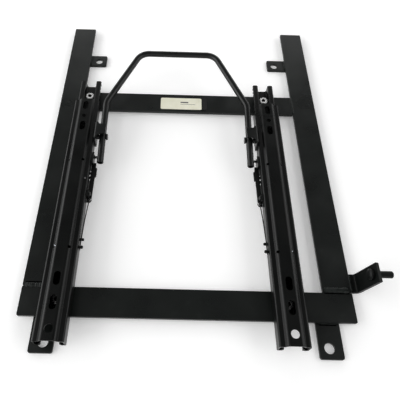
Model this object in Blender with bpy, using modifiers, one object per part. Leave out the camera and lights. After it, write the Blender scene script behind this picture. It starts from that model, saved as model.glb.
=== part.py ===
"""Bucket seat base: welded flat bar frame, two mirrored seat sliders and a towel bar release.

Metres, +Z up. +Y is the front of the vehicle, +X its right side. The object rests on the
undersides of its four mounting tabs, and its origin is the middle of its footprint.
"""
import math

import bmesh
import bpy
from mathutils import Matrix, Vector

# Clearances
SEAM = 0.0003
PIN_CLEARANCE = 0.0003
RUNNING_GAP = 0.00035

# Frame of flat bars
BAR_WIDTH = 0.038
BAR_THICK = 0.005
TAB_THICK = 0.0045
FRAME_WIDTH = 0.426
SIDE_BAR_FRONT_Y = 0.5385
FRONT_BAR_Y = 0.3387
BAR_CORNER = 0.002
BAR_EDGE = 0.0005

# Mounting tabs
FRONT_TAB_WIDTH = 0.025
FRONT_TAB_Y = 0.4595
FRONT_REACH_LEFT = 0.0280
FRONT_REACH_RIGHT = 0.0315
FRONT_HOLE_INSET_LEFT = 0.0135
FRONT_HOLE_INSET_RIGHT = 0.0125
FRONT_HOLE_SHIFT = -0.0015
FRONT_TAB_LAP = 0.033
REAR_TAB_WIDTH = 0.030
REAR_TAB_REACH = 0.0425
REAR_TAB_INSET_LEFT = 0.0355
REAR_TAB_INSET_RIGHT = 0.0370
REAR_HOLE_SHIFT = 0.0018
REAR_HOLE_END = 0.0130
REAR_TAB_LAP = 0.033
TAB_HOLE = 0.012
REAR_TAB_HOLE = 0.013
TAB_CORNER = 0.003

# Buckle bracket on the right side bar
STRIP_WIDTH = 0.025
STRIP_THICK = 0.0045
STRIP_SETBACK = 0.0135
STRIP_FOOT = 0.0090
STRIP_LEAN = 0.27
STRIP_BEND = 0.006
STRIP_TOP_Z = 0.052
STUD_Z = 0.0435
STUD_RADIUS = 0.0045
STUD_REACH = 0.0208
STUD_CHAMFER = 0.0015
BOSS_RADIUS = 0.0070
BOSS_THICK = 0.0036

# Label on the front cross bar
LABEL_SIZE = (0.078, 0.026, 0.0004)
LABEL_X = -0.0070
LABEL_Y = 0.3562
LABEL_CORNER = 0.003

# Sliders
PAIR_X = -0.019
RAIL_INSET = 0.0685
SHEET = 0.0018
FOLD = 0.0018
LOWER_REAR_Y = -0.006
LOWER_FRONT_Y = 0.3886
FLOOR_CUT_BACK = 0.0014
FLOOR_CUT_SIDE = 0.0010
UPPER_REAR_Y = -0.035
UPPER_FRONT_Y = 0.339
LOWER_WALL = 0.0089
LOWER_HOOK = 0.0158
LOWER_RISE = 0.0131
LOWER_HOOK_DROP = 0.0052
UPPER_WEB = 0.0083
UPPER_STEP = 0.0118
UPPER_WALL = 0.0183
UPPER_LIP = 0.0123
WEB_RISE = 0.0241
SHOULDER_RISE = 0.0196
LIP_RISE = 0.0026
LIP_HEIGHT = 0.0062
TRAVEL = 0.180

# Holes in the upper rails, as centre along the rail, length and width
SLOTS = [
    (0.3245, 0.0165, 0.0082),
    (0.2835, 0.0165, 0.0082),
    (0.0400, 0.0180, 0.0084),
    (0.0100, 0.0180, 0.0084),
]
ROUND_HOLES = [(0.3030, 0.0064), (-0.0210, 0.0105)]
DIMPLE_Y = (0.2205, 0.0824)
DIMPLE_RADIUS = 0.0030
DIMPLE_DEPTH = 0.0010
SMALL_HOLE = 0.0034
SMALL_HOLE_X = 0.0090

# Rivet on the left slider's inner shoulder
STOP_Y = 0.190
STOP_OFFSET = 0.0151
STOP_RADIUS = 0.0009
STOP_HEAD_RADIUS = 0.0016
STOP_HEAD_HEIGHT = 0.0013

# Locking notches in the lower rails' inner hooks
NOTCH_PITCH = 0.0075
NOTCH_LAST_Y = 0.3872
NOTCH_COUNT = 26
NOTCH_WIDTH = 0.0044
NOTCH_DEPTH = 0.0034

# Rail screws
SCREW_Y = (0.3595, 0.0190)
SCREW_RADIUS = 0.004
SCREW_HEAD_RADIUS = 0.0065
SCREW_HEAD_HEIGHT = 0.008
SCREW_HEAD_EDGE = 0.0008
SOCKET_ACROSS = 0.006
SOCKET_DEPTH = 0.004

# Balls, cages and glide strips inside the sliders
BALL_RADIUS = 0.002
BALL_OFFSET = 0.0150
BALL_Y = (0.080, 0.272)
CAGE_Y = (0.062, 0.290)
CAGE_WIDTH = 0.0048
CAGE_SHIFT = -0.0004
CAGE_THICK = 0.001
GLIDE_Y = (-0.004, 0.160)
GLIDE_WIDTH = 0.0032
GLIDE_HEIGHT = 0.0036

# Release handle
ROD_RADIUS = 0.005
ROD_INSET = 0.0320
BORE_RADIUS = 0.0036
BORE_DEPTH = 0.020
ROD_END_Y = 0.223
PIVOT_Y = 0.268
PIVOT_Z = 0.0282
HANDLE_SLOPE = 0.114
KNEE_Y = 0.3317
GRIP_Y = 0.4338
GRIP_INSET = 0.0505
KNEE_BEND = 0.030
GRIP_BEND = 0.0225
PIN_RADIUS = 0.0025
LINK_Y = 0.232
LINK_RADIUS = 0.002

# Handle holders
HOLDER_SHEET = 0.0025
HOLDER_TOP_Z = 0.0402
HOLDER_BASE_Z = 0.0155
HOLDER_REAR_REACH = 0.0025
HOLDER_PLATE_REACH = 0.0165
HOLDER_BASE_REAR = 0.0100
HOLDER_BASE_FRONT = 0.0200
HOLDER_BEND = 0.0025
HOLDER_NOTCH_REAR = 0.002
HOLDER_NOTCH_FRONT = 0.003
HANDLE_PIN_HEAD = 0.0050
HANDLE_PIN_HEAD_THICK = 0.0024
SPACER_RADIUS = 0.0043

# Latch plates
LATCH_Y = 0.168
LATCH_Z = 0.0246
LATCH_SHEET = 0.0025
LATCH_TOP_Z = 0.0186
LATCH_REAR_Y = 0.1583
LATCH_FRONT_Y = 0.2255
LATCH_INSET = 0.0261
LATCH_CLEARANCE = 0.0004
LATCH_SPLAY = 0.0004
LATCH_TAIL = 0.004
LATCH_TAIL_CUT = 0.0019
LATCH_TAB_BEVEL = 0.0006
LATCH_TAB_REACH = 0.0019
LATCH_TAB_Y = (0.2010, 0.2168)
FINGER_WIDTH = 0.0036
FINGER_REACH = 0.0057
FINGER_Y = 0.1997
WINDOW_Y = (0.1945, 0.2135)
WINDOW_TOP_Z = 0.0227
WINDOW_OUT = 0.0035
WINDOW_LAP = 0.002
ARM_THICK = 0.003
ARM_LAP = 0.005
ARM_END_Y = 0.2385
ARM_TOP_Z = 0.029
EAR_HALF = 0.005
EAR_TOP_Z = 0.0290
EAR_THICK = 0.0025
EAR_BURY = 0.001
FORK_DROP = 0.0006
RIVET_RADIUS = 0.002
RIVET_HEAD_RADIUS = 0.0033
RIVET_HEAD_THICK = 0.0024
SHANK_RECESS = 0.0001
SPRING_HOLE_Y = 0.1622
SPRING_HOLE_RADIUS = 0.0022

# Spring wires and posts
WIRE_RADIUS = 0.0008
WIRE_Z = 0.0231
WIRE_END_Y = 0.083
WIRE_STANDOFF = 0.0048
WIRE_BOW = 0.0036
WIRE_TAIL = 0.0065
WIRE_BEND = 0.001
WIRE_STEPS = 12
POST_FRONT = (0.0995, 0.0199, 0.0020, 0.0046)
POST_REAR = (0.0858, 0.0264, 0.0022, 0.0058)

# Levels that follow from the sizes above
BAR_BASE_Z = TAB_THICK + SEAM
BAR_TOP_Z = BAR_BASE_Z + BAR_THICK
RAIL_BASE_Z = BAR_TOP_Z + SEAM
FLOOR_Z = RAIL_BASE_Z + SHEET / 2
FLOOR_TOP_Z = RAIL_BASE_Z + SHEET
HALF_FRAME = FRAME_WIDTH / 2
RAIL_HALF_PITCH = HALF_FRAME - RAIL_INSET
ROD_OFFSET = RAIL_HALF_PITCH - ROD_INSET
GRIP_HALF = ROD_OFFSET - GRIP_INSET
LATCH_OUT = RAIL_HALF_PITCH - LATCH_INSET
STRIP_Y = BAR_WIDTH + STRIP_SETBACK
STRIP_BASE_Z = BAR_BASE_Z + STRIP_THICK / 2
STRIP_TOP_X = HALF_FRAME + STRIP_FOOT + (STRIP_TOP_Z - STRIP_BASE_Z) * STRIP_LEAN
STUD_X = HALF_FRAME + STRIP_FOOT + (STUD_Z - STRIP_BASE_Z) * STRIP_LEAN
STUD_END_X = STUD_X + STRIP_THICK / 2 + STUD_REACH
WALL_FACE = RAIL_HALF_PITCH - UPPER_WALL - SHEET / 2
WALL_BACK = WALL_FACE + SHEET
WIRE_START = WALL_FACE - WIRE_STANDOFF
WEB_TOP_Z = FLOOR_Z + WEB_RISE + SHEET / 2
SHOULDER_TOP_Z = FLOOR_Z + SHOULDER_RISE + SHEET / 2
HOOK_END_Z = FLOOR_Z + LOWER_RISE - LOWER_HOOK_DROP
ORIGIN = Vector(((STUD_END_X - HALF_FRAME) / 2, (SIDE_BAR_FRONT_Y - REAR_TAB_REACH) / 2, 0))
SIDE_NAMES = {-1: "left", 1: "right"}

PARTS = None
CUTTERS = None
PAINT = (0.012, 0.013, 0.013, 1)
ZINC = (0.62, 0.63, 0.64, 1)
STEEL = (0.35, 0.35, 0.36, 1)
NYLON = (0.05, 0.05, 0.05, 1)
IVORY = (0.78, 0.74, 0.58, 1)


def clear_scene():
    for item in list(bpy.data.objects):
        bpy.data.objects.remove(item, do_unlink=True)


def make_collections():
    global PARTS, CUTTERS
    PARTS = bpy.data.collections.new("seat_slide_rail")
    CUTTERS = bpy.data.collections.new("cutters")
    for group in (PARTS, CUTTERS):
        bpy.context.scene.collection.children.link(group)


def make_material(name, colour, roughness, metallic):
    material = bpy.data.materials.new(name)
    material.use_nodes = True
    shader = material.node_tree.nodes["Principled BSDF"]
    shader.inputs["Base Color"].default_value = colour
    shader.inputs["Roughness"].default_value = roughness
    shader.inputs["Metallic"].default_value = metallic
    return material


def finish(name, mesh, place, colour=PAINT, roughness=0.42, metallic=0.0, smooth=False):
    """Names the piece, gives it its own material and puts it in the part's collection."""
    mesh.name = name
    mesh.materials.clear()
    mesh.materials.append(make_material(name, colour, roughness, metallic))
    if smooth:
        mesh.shade_smooth()
        mesh.set_sharp_from_angle(angle=math.radians(35))
    piece = bpy.data.objects.new(name, mesh)
    piece.location = Vector(place) - ORIGIN
    PARTS.objects.link(piece)
    return piece


def side_x(side, offset):
    """X of a point that lies this far from the middle of the two sliders."""
    return PAIR_X + side * offset


def rounded(points, radius, steps=4, closed=True):
    """The same outline with each corner turned into an arc."""
    result = []
    count = len(points)
    for i, point in enumerate(points):
        if not closed and i in (0, count - 1):
            result.append(tuple(point))
            continue
        here = Vector(point)
        before = Vector(points[i - 1]) - here
        after = Vector(points[(i + 1) % count]) - here
        angle = before.angle(after)
        reach = min(radius / math.tan(angle / 2), 0.48 * before.length, 0.48 * after.length)
        real = reach * math.tan(angle / 2)
        middle = here + (before.normalized() + after.normalized()).normalized() * (
            real / math.sin(angle / 2))
        start = here + before.normalized() * reach - middle
        end = here + after.normalized() * reach - middle
        sweep = start.angle(end)
        for k in range(steps + 1):
            t = k / steps
            arm = (math.sin((1 - t) * sweep) * start + math.sin(t * sweep) * end) / math.sin(sweep)
            result.append(tuple(middle + arm))
    return result


def rectangle(x0, x1, y0, y1):
    return [(x0, y0), (x1, y0), (x1, y1), (x0, y1)]


def ring(x, y, radius, sides=24):
    return [(x + radius * math.cos(2 * math.pi * k / sides),
             y + radius * math.sin(2 * math.pi * k / sides)) for k in range(sides)]


def obround(x, y, length, width, steps=10):
    """A slot outline, long along the second axis."""
    radius = width / 2
    reach = length / 2 - radius
    points = []
    for end in (1, -1):
        for k in range(steps + 1):
            angle = math.pi * k / steps + (0 if end == 1 else math.pi)
            points.append((x + radius * math.cos(angle), y + end * reach + radius * math.sin(angle)))
    return points


def mesh_from_curve(curve):
    """Turns a curve into a mesh with its caps welded, and removes the curve."""
    holder = bpy.data.objects.new("curve", curve)
    bpy.context.scene.collection.objects.link(holder)
    bpy.context.view_layer.update()
    evaluated = holder.evaluated_get(bpy.context.evaluated_depsgraph_get())
    mesh = bpy.data.meshes.new_from_object(evaluated)
    bpy.data.objects.remove(holder, do_unlink=True)
    bpy.data.curves.remove(curve)
    shape = bmesh.new()
    shape.from_mesh(mesh)
    bmesh.ops.remove_doubles(shape, verts=shape.verts, dist=1e-6)
    bmesh.ops.recalc_face_normals(shape, faces=shape.faces)
    shape.to_mesh(mesh)
    shape.free()
    return mesh


def plate_mesh(outlines, thickness, turn=None, edge=0.0):
    """A flat plate, centred on its own plane, from an outline and the holes in it."""
    curve = bpy.data.curves.new("plate", "CURVE")
    curve.dimensions = "2D"
    curve.fill_mode = "BOTH"
    curve.extrude = thickness / 2 - edge
    curve.bevel_depth = edge
    curve.bevel_resolution = 0
    curve.offset = -edge
    for outline in outlines:
        spline = curve.splines.new("POLY")
        spline.points.add(len(outline) - 1)
        for target, (x, y) in zip(spline.points, outline):
            target.co = (x, y, 0, 1)
        spline.use_cyclic_u = True
    mesh = mesh_from_curve(curve)
    if turn is not None:
        mesh.transform(turn)
    return mesh


# Plates drawn in the X-Z plane, and plates drawn in the Y-Z plane
STAND_XZ = Matrix.Rotation(math.radians(90), 4, "X")
STAND_YZ = Matrix(((0, 0, 1, 0), (1, 0, 0, 0), (0, 1, 0, 0), (0, 0, 0, 1)))


def ribbon_mesh(path, length):
    """An open folded surface: the path in X-Z, drawn out along Y about its middle."""
    curve = bpy.data.curves.new("ribbon", "CURVE")
    curve.dimensions = "2D"
    curve.fill_mode = "NONE"
    curve.extrude = length / 2
    spline = curve.splines.new("POLY")
    spline.points.add(len(path) - 1)
    for target, (x, z) in zip(spline.points, path):
        target.co = (x, z, 0, 1)
    mesh = mesh_from_curve(curve)
    mesh.transform(STAND_XZ)
    return mesh


def thicken(piece, thickness):
    """Gives a folded surface its sheet thickness, half to each side."""
    solid = piece.modifiers.new("sheet", "SOLIDIFY")
    solid.thickness = thickness
    solid.offset = 0
    solid.use_even_offset = True


def cylinder_mesh(radius, length, sides=24, axis="Z", middle=(0, 0, 0), tip_radius=None):
    shape = bmesh.new()
    bmesh.ops.create_cone(shape, cap_ends=True, segments=sides, radius1=radius,
                          radius2=radius if tip_radius is None else tip_radius, depth=length)
    mesh = bpy.data.meshes.new("cylinder")
    shape.to_mesh(mesh)
    shape.free()
    if axis == "X":
        mesh.transform(Matrix.Rotation(math.radians(90), 4, "Y"))
    elif axis == "Y":
        mesh.transform(Matrix.Rotation(math.radians(90), 4, "X"))
    mesh.transform(Matrix.Translation(middle))
    return mesh


def box_mesh(size, middle=(0, 0, 0)):
    shape = bmesh.new()
    bmesh.ops.create_cube(shape, size=1.0)
    bmesh.ops.scale(shape, vec=size, verts=shape.verts)
    mesh = bpy.data.meshes.new("box")
    shape.to_mesh(mesh)
    shape.free()
    mesh.transform(Matrix.Translation(middle))
    return mesh


def block_mesh(low, high):
    size = [b - a for a, b in zip(low, high)]
    return box_mesh(size, [(a + b) / 2 for a, b in zip(low, high)])


def turned_mesh(profile, sides=24):
    """A turned solid about Z: the profile runs from the top of its axis to the bottom."""
    mesh = bpy.data.meshes.new("profile")
    mesh.from_pydata([(radius, 0, z) for radius, z in profile],
                     [(k, k + 1) for k in range(len(profile) - 1)], [])
    holder = bpy.data.objects.new("profile", mesh)
    bpy.context.scene.collection.objects.link(holder)
    screw = holder.modifiers.new("turn", "SCREW")
    screw.axis = "Z"
    screw.steps = sides
    screw.render_steps = sides
    screw.use_merge_vertices = True
    screw.merge_threshold = 0.00001
    bpy.context.view_layer.update()
    turned = bpy.data.meshes.new_from_object(
        holder.evaluated_get(bpy.context.evaluated_depsgraph_get()))
    bpy.data.objects.remove(holder, do_unlink=True)
    bpy.data.meshes.remove(mesh)
    return turned


def tool(piece, mesh, operation="DIFFERENCE"):
    """Adds a hidden cutter, or a shape to join, in the piece's own space."""
    cutter = bpy.data.objects.new(piece.name + "_tool", mesh)
    cutter.location = piece.location
    cutter.hide_render = True
    cutter.display_type = "WIRE"
    CUTTERS.objects.link(cutter)
    change = piece.modifiers.new("cut" if operation == "DIFFERENCE" else "join", "BOOLEAN")
    change.operation = operation
    change.solver = "EXACT"
    change.object = cutter
    return cutter


def along_x(turned, flip=False):
    """Lays a turned solid on the X axis, its top towards +X, or -X when flipped."""
    turned.transform(Matrix.Rotation(math.radians(-90 if flip else 90), 4, "Y"))
    return turned


def make_frame_bars():
    for side, name in SIDE_NAMES.items():
        rear = BAR_WIDTH + SEAM
        length = SIDE_BAR_FRONT_Y - rear
        outline = rounded(rectangle(-BAR_WIDTH / 2, BAR_WIDTH / 2, -length / 2, length / 2), BAR_CORNER)
        mesh = plate_mesh([outline], BAR_THICK, edge=BAR_EDGE)
        place = (side * (HALF_FRAME - BAR_WIDTH / 2), rear + length / 2, BAR_BASE_Z + BAR_THICK / 2)
        finish("side_bar_" + name, mesh, place)
    spans = {
        "cross_bar_front": (HALF_FRAME - BAR_WIDTH - SEAM, FRONT_BAR_Y, SCREW_Y[0]),
        "cross_bar_rear": (HALF_FRAME, 0.0, SCREW_Y[1]),
    }
    for name, (half, rear, screw_y) in spans.items():
        middle = rear + BAR_WIDTH / 2
        outline = rounded(rectangle(-half, half, -BAR_WIDTH / 2, BAR_WIDTH / 2), BAR_CORNER)
        holes = [ring(side_x(side, RAIL_HALF_PITCH), screw_y - middle, SCREW_RADIUS + PIN_CLEARANCE)
                 for side in SIDE_NAMES]
        mesh = plate_mesh([outline] + holes, BAR_THICK)
        finish(name, mesh, (0, middle, BAR_BASE_Z + BAR_THICK / 2))


def make_tab(name, size, hole, place):
    """A drilled floor tab under the bars. The hole is (x, y, diameter) from the tab's middle."""
    width, depth = size
    outline = rounded(rectangle(-width / 2, width / 2, -depth / 2, depth / 2), TAB_CORNER)
    mesh = plate_mesh([outline, ring(hole[0], hole[1], hole[2] / 2)], TAB_THICK)
    finish(name, mesh, place + (TAB_THICK / 2,))


def make_tabs():
    reaches = {-1: FRONT_REACH_LEFT, 1: FRONT_REACH_RIGHT}
    insets = {-1: FRONT_HOLE_INSET_LEFT, 1: FRONT_HOLE_INSET_RIGHT}
    rear_insets = {-1: REAR_TAB_INSET_LEFT, 1: REAR_TAB_INSET_RIGHT}
    bar_edge = HALF_FRAME - BAR_WIDTH
    for side, name in SIDE_NAMES.items():
        width = reaches[side] + FRONT_TAB_LAP
        middle = bar_edge - reaches[side] + width / 2
        hole = (side * (insets[side] - width / 2), FRONT_HOLE_SHIFT, TAB_HOLE)
        make_tab("front_tab_" + name, (width, FRONT_TAB_WIDTH), hole, (side * middle, FRONT_TAB_Y))
        depth = REAR_TAB_REACH + REAR_TAB_LAP
        middle = HALF_FRAME - rear_insets[side]
        hole = (-side * REAR_HOLE_SHIFT, REAR_HOLE_END - depth / 2, REAR_TAB_HOLE)
        make_tab("rear_tab_" + name, (REAR_TAB_WIDTH, depth), hole,
                 (side * middle, depth / 2 - REAR_TAB_REACH))


def make_buckle_bracket():
    """A strip bent up from the side bar, its upper part leaning outwards, and the stud in it."""
    path = rounded([
        (HALF_FRAME + SEAM, STRIP_BASE_Z),
        (HALF_FRAME + STRIP_FOOT, STRIP_BASE_Z),
        (STRIP_TOP_X, STRIP_TOP_Z),
    ], STRIP_BEND, closed=False)
    bracket = finish("buckle_bracket", ribbon_mesh(path, STRIP_WIDTH), (0, STRIP_Y, 0))
    thicken(bracket, STRIP_THICK)
    tool(bracket, cylinder_mesh(STUD_RADIUS + PIN_CLEARANCE, 0.012, axis="X",
                                middle=(STUD_X, 0, STUD_Z)))
    slant = math.sqrt(1 + STRIP_LEAN ** 2)
    start = -(STRIP_THICK / 2 + SEAM) * slant - BOSS_RADIUS * STRIP_LEAN
    reach = STRIP_THICK / 2 + STUD_REACH
    profile = [(0, reach), (STUD_RADIUS - STUD_CHAMFER, reach), (STUD_RADIUS, reach - STUD_CHAMFER),
               (STUD_RADIUS, start), (BOSS_RADIUS, start), (BOSS_RADIUS, start - BOSS_THICK / 2),
               (BOSS_RADIUS - BOSS_THICK / 2, start - BOSS_THICK), (0, start - BOSS_THICK)]
    finish("buckle_stud", along_x(turned_mesh(profile)), (STUD_X, STRIP_Y, STUD_Z), ZINC, 0.35, 1.0,
           smooth=True)


def make_label():
    width, depth, thick = LABEL_SIZE
    outline = rounded(rectangle(-width / 2, width / 2, -depth / 2, depth / 2), LABEL_CORNER)
    mesh = plate_mesh([outline], thick)
    place = (LABEL_X, LABEL_Y, BAR_TOP_Z + SEAM + thick / 2)
    finish("label", mesh, place, IVORY, 0.3)


def half_to_full(half):
    """Mirrors a half section about the rail's middle plane."""
    return [(-x, z) for x, z in reversed(half)] + half


def lower_section():
    half = [
        (LOWER_WALL, 0),
        (LOWER_WALL, LOWER_RISE),
        (LOWER_HOOK, LOWER_RISE),
        (LOWER_HOOK, LOWER_RISE - LOWER_HOOK_DROP),
    ]
    return rounded(half_to_full(half), FOLD, closed=False)


def upper_section():
    half = [
        (UPPER_WEB, WEB_RISE),
        (UPPER_STEP, SHOULDER_RISE),
        (UPPER_WALL, SHOULDER_RISE),
        (UPPER_WALL, LIP_RISE),
        (UPPER_LIP, LIP_RISE),
        (UPPER_LIP, LIP_RISE + LIP_HEIGHT),
    ]
    return rounded(half_to_full(half), FOLD, closed=False)


def lower_notches(side, middle):
    """A row of blocks that cut the notches, in the rail's own space."""
    shape = bmesh.new()
    low = HOOK_END_Z - FLOOR_Z - SHEET
    for k in range(NOTCH_COUNT):
        y = NOTCH_LAST_Y - k * NOTCH_PITCH - middle
        bar = block_mesh((-side * LOWER_HOOK - SHEET, y - NOTCH_WIDTH / 2, low),
                         (-side * LOWER_HOOK + SHEET, y + NOTCH_WIDTH / 2, low + SHEET + NOTCH_DEPTH))
        shape.from_mesh(bar)
        bpy.data.meshes.remove(bar)
    teeth = bpy.data.meshes.new("notches")
    shape.to_mesh(teeth)
    shape.free()
    return teeth


def make_lower_rail(side, name):
    length = LOWER_FRONT_Y - LOWER_REAR_Y
    middle = (LOWER_FRONT_Y + LOWER_REAR_Y) / 2
    place = (side_x(side, RAIL_HALF_PITCH), middle, FLOOR_Z)
    rail = finish("lower_rail_" + name, ribbon_mesh(lower_section(), length), place)
    thicken(rail, SHEET)
    through = 2 * SHEET
    for y in SCREW_Y:
        tool(rail, cylinder_mesh(SCREW_RADIUS + PIN_CLEARANCE, 2 * through, middle=(0, y - middle, 0)))
    clear = LOWER_WALL - SHEET / 2 - FLOOR_CUT_SIDE
    tool(rail, block_mesh((-clear, length / 2 - FLOOR_CUT_BACK, -through), (clear, length, through)))
    tool(rail, lower_notches(side, middle))


def slope_spot(offset):
    """A point this far outside the middle of the step between web and shoulder, across it."""
    run = UPPER_STEP - UPPER_WEB
    drop = WEB_RISE - SHOULDER_RISE
    slant = math.hypot(run, drop)
    x = (UPPER_WEB + UPPER_STEP) / 2 + offset * drop / slant
    return x, (WEB_RISE + SHOULDER_RISE) / 2 + offset * run / slant


def upper_punches(side, middle):
    """Slots, round holes, dimples and small holes of one upper rail, in its own space."""
    shape = bmesh.new()
    openings = [obround(0, y - middle, long, wide) for y, long, wide in SLOTS]
    openings += [ring(0, y - middle, across / 2) for y, across in ROUND_HOLES]
    for outline in openings:
        punch = plate_mesh([outline], 4 * SHEET)
        punch.transform(Matrix.Translation((0, 0, WEB_RISE)))
        shape.from_mesh(punch)
        bpy.data.meshes.remove(punch)
    x, z = slope_spot(SHEET / 2 + DIMPLE_RADIUS - DIMPLE_DEPTH)
    for y in DIMPLE_Y:
        bmesh.ops.create_uvsphere(shape, u_segments=12, v_segments=8, radius=DIMPLE_RADIUS,
                                  matrix=Matrix.Translation((side * x, y - middle, z)))
        punch = cylinder_mesh(SMALL_HOLE / 2, 8 * SHEET, sides=16,
                              middle=(-side * SMALL_HOLE_X, y - middle, WEB_RISE))
        shape.from_mesh(punch)
        bpy.data.meshes.remove(punch)
    punches = bpy.data.meshes.new("punches")
    shape.to_mesh(punches)
    shape.free()
    return punches


def make_upper_rail(side, name):
    length = UPPER_FRONT_Y - UPPER_REAR_Y
    middle = (UPPER_FRONT_Y + UPPER_REAR_Y) / 2
    place = (side_x(side, RAIL_HALF_PITCH), middle, FLOOR_Z)
    rail = finish("upper_rail_" + name, ribbon_mesh(upper_section(), length), place)
    thicken(rail, SHEET)
    tool(rail, upper_punches(side, middle))
    inner = -side * UPPER_WALL
    lip = side * (UPPER_WALL - UPPER_LIP + WINDOW_LAP)
    x0, x1 = sorted((inner - side * WINDOW_OUT, inner + lip))
    tool(rail, block_mesh((x0, WINDOW_Y[0] - middle, -SHEET),
                          (x1, WINDOW_Y[1] - middle, WINDOW_TOP_Z - FLOOR_Z)))
    holes = [(LATCH_Y, LATCH_Z, RIVET_RADIUS)]
    holes += [post[:3] for post in (POST_FRONT, POST_REAR)]
    for y, z, radius in holes:
        tool(rail, cylinder_mesh(radius + PIN_CLEARANCE, 2 * SHEET, sides=16, axis="X",
                                 middle=(inner, y - middle, z - FLOOR_Z)))
    if side == -1:
        tool(rail, cylinder_mesh(STOP_RADIUS + PIN_CLEARANCE, 3 * SHEET, sides=12,
                                 middle=(STOP_OFFSET, STOP_Y - middle, SHOULDER_RISE)))


def make_shoulder_rivet():
    head = STOP_HEAD_RADIUS
    crown = STOP_HEAD_HEIGHT
    profile = [(0, crown), (head * 0.7, crown * 0.85), (head, SEAM), (STOP_RADIUS, SEAM),
               (STOP_RADIUS, -SHEET), (0, -SHEET)]
    mesh = turned_mesh(profile, 16)
    x = side_x(-1, RAIL_HALF_PITCH) + STOP_OFFSET
    finish("shoulder_rivet", mesh, (x, STOP_Y, SHOULDER_TOP_Z), ZINC, 0.4, 1.0, smooth=True)


def make_rail_screws():
    for end, y in zip(("front", "rear"), SCREW_Y):
        for side, name in SIDE_NAMES.items():
            seat = FLOOR_TOP_Z + SEAM
            low = BAR_BASE_Z + SEAM - seat
            edge = SCREW_HEAD_EDGE
            profile = [(0, SCREW_HEAD_HEIGHT), (SCREW_HEAD_RADIUS - edge, SCREW_HEAD_HEIGHT),
                       (SCREW_HEAD_RADIUS, SCREW_HEAD_HEIGHT - edge), (SCREW_HEAD_RADIUS, 0),
                       (SCREW_RADIUS, 0), (SCREW_RADIUS, low), (0, low)]
            screw = finish("rail_screw_%s_%s" % (end, name), turned_mesh(profile),
                           (side_x(side, RAIL_HALF_PITCH), y, seat), ZINC, 0.3, 1.0, smooth=True)
            tool(screw, cylinder_mesh(SOCKET_ACROSS / math.sqrt(3), SOCKET_DEPTH + 0.002, sides=6,
                                      middle=(0, 0, SCREW_HEAD_HEIGHT - SOCKET_DEPTH / 2 + 0.001)))


def cage_outline(outward):
    """A strip with an open pocket for each ball in the edge that faces the rail's wall."""
    wall = outward * (CAGE_WIDTH / 2 + CAGE_SHIFT)
    edge = outward * (CAGE_SHIFT - CAGE_WIDTH / 2)
    floor = -outward * (BALL_RADIUS + RUNNING_GAP)
    points = [(edge, CAGE_Y[1]), (edge, CAGE_Y[0]), (wall, CAGE_Y[0])]
    for y in BALL_Y:
        for end, x in ((-1, wall), (-1, floor), (1, floor), (1, wall)):
            points.append((x, y + end * (BALL_RADIUS + RUNNING_GAP)))
    points.append((wall, CAGE_Y[1]))
    return points


def make_ball_track(side, name):
    """The cages, the balls and the glide strips inside one slider."""
    hook_top = FLOOR_Z + LOWER_RISE + SHEET / 2
    shoulder_under = FLOOR_Z + SHOULDER_RISE - SHEET / 2
    ball_z = (hook_top + shoulder_under) / 2
    middle = (CAGE_Y[0] + CAGE_Y[1]) / 2
    for row, inward in (("inner", -1), ("outer", 1)):
        outward = side * inward
        x = side_x(side, RAIL_HALF_PITCH) + outward * BALL_OFFSET
        outline = [(u, y - middle) for u, y in cage_outline(outward)]
        finish("ball_cage_%s_%s" % (name, row), plate_mesh([outline], CAGE_THICK),
               (x, middle, ball_z), STEEL, 0.4, 1.0)
        for k, y in enumerate(BALL_Y):
            shape = bmesh.new()
            bmesh.ops.create_uvsphere(shape, u_segments=16, v_segments=10, radius=BALL_RADIUS)
            mesh = bpy.data.meshes.new("ball")
            shape.to_mesh(mesh)
            shape.free()
            finish("ball_%s_%s_%d" % (name, row, k + 1), mesh, (x, y, ball_z), ZINC, 0.15, 1.0,
                   smooth=True)
        trough = FLOOR_Z + LIP_RISE + SHEET / 2 + RUNNING_GAP
        centre = (UPPER_WALL - SHEET / 2 - RUNNING_GAP) - GLIDE_WIDTH / 2
        section = rounded(rectangle(-GLIDE_WIDTH / 2, GLIDE_WIDTH / 2, -GLIDE_HEIGHT / 2,
                                    GLIDE_HEIGHT / 2), FOLD / 2, 3)
        glide = plate_mesh([section], GLIDE_Y[1] - GLIDE_Y[0], STAND_XZ)
        finish("glide_strip_%s_%s" % (name, row), glide,
               (side_x(side, RAIL_HALF_PITCH) + outward * centre,
                (GLIDE_Y[0] + GLIDE_Y[1]) / 2, trough + GLIDE_HEIGHT / 2), NYLON, 0.5)


def handle_level(y):
    """Height of the handle's middle line, which climbs to the front."""
    return PIVOT_Z + (y - PIVOT_Y) * HANDLE_SLOPE


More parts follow.
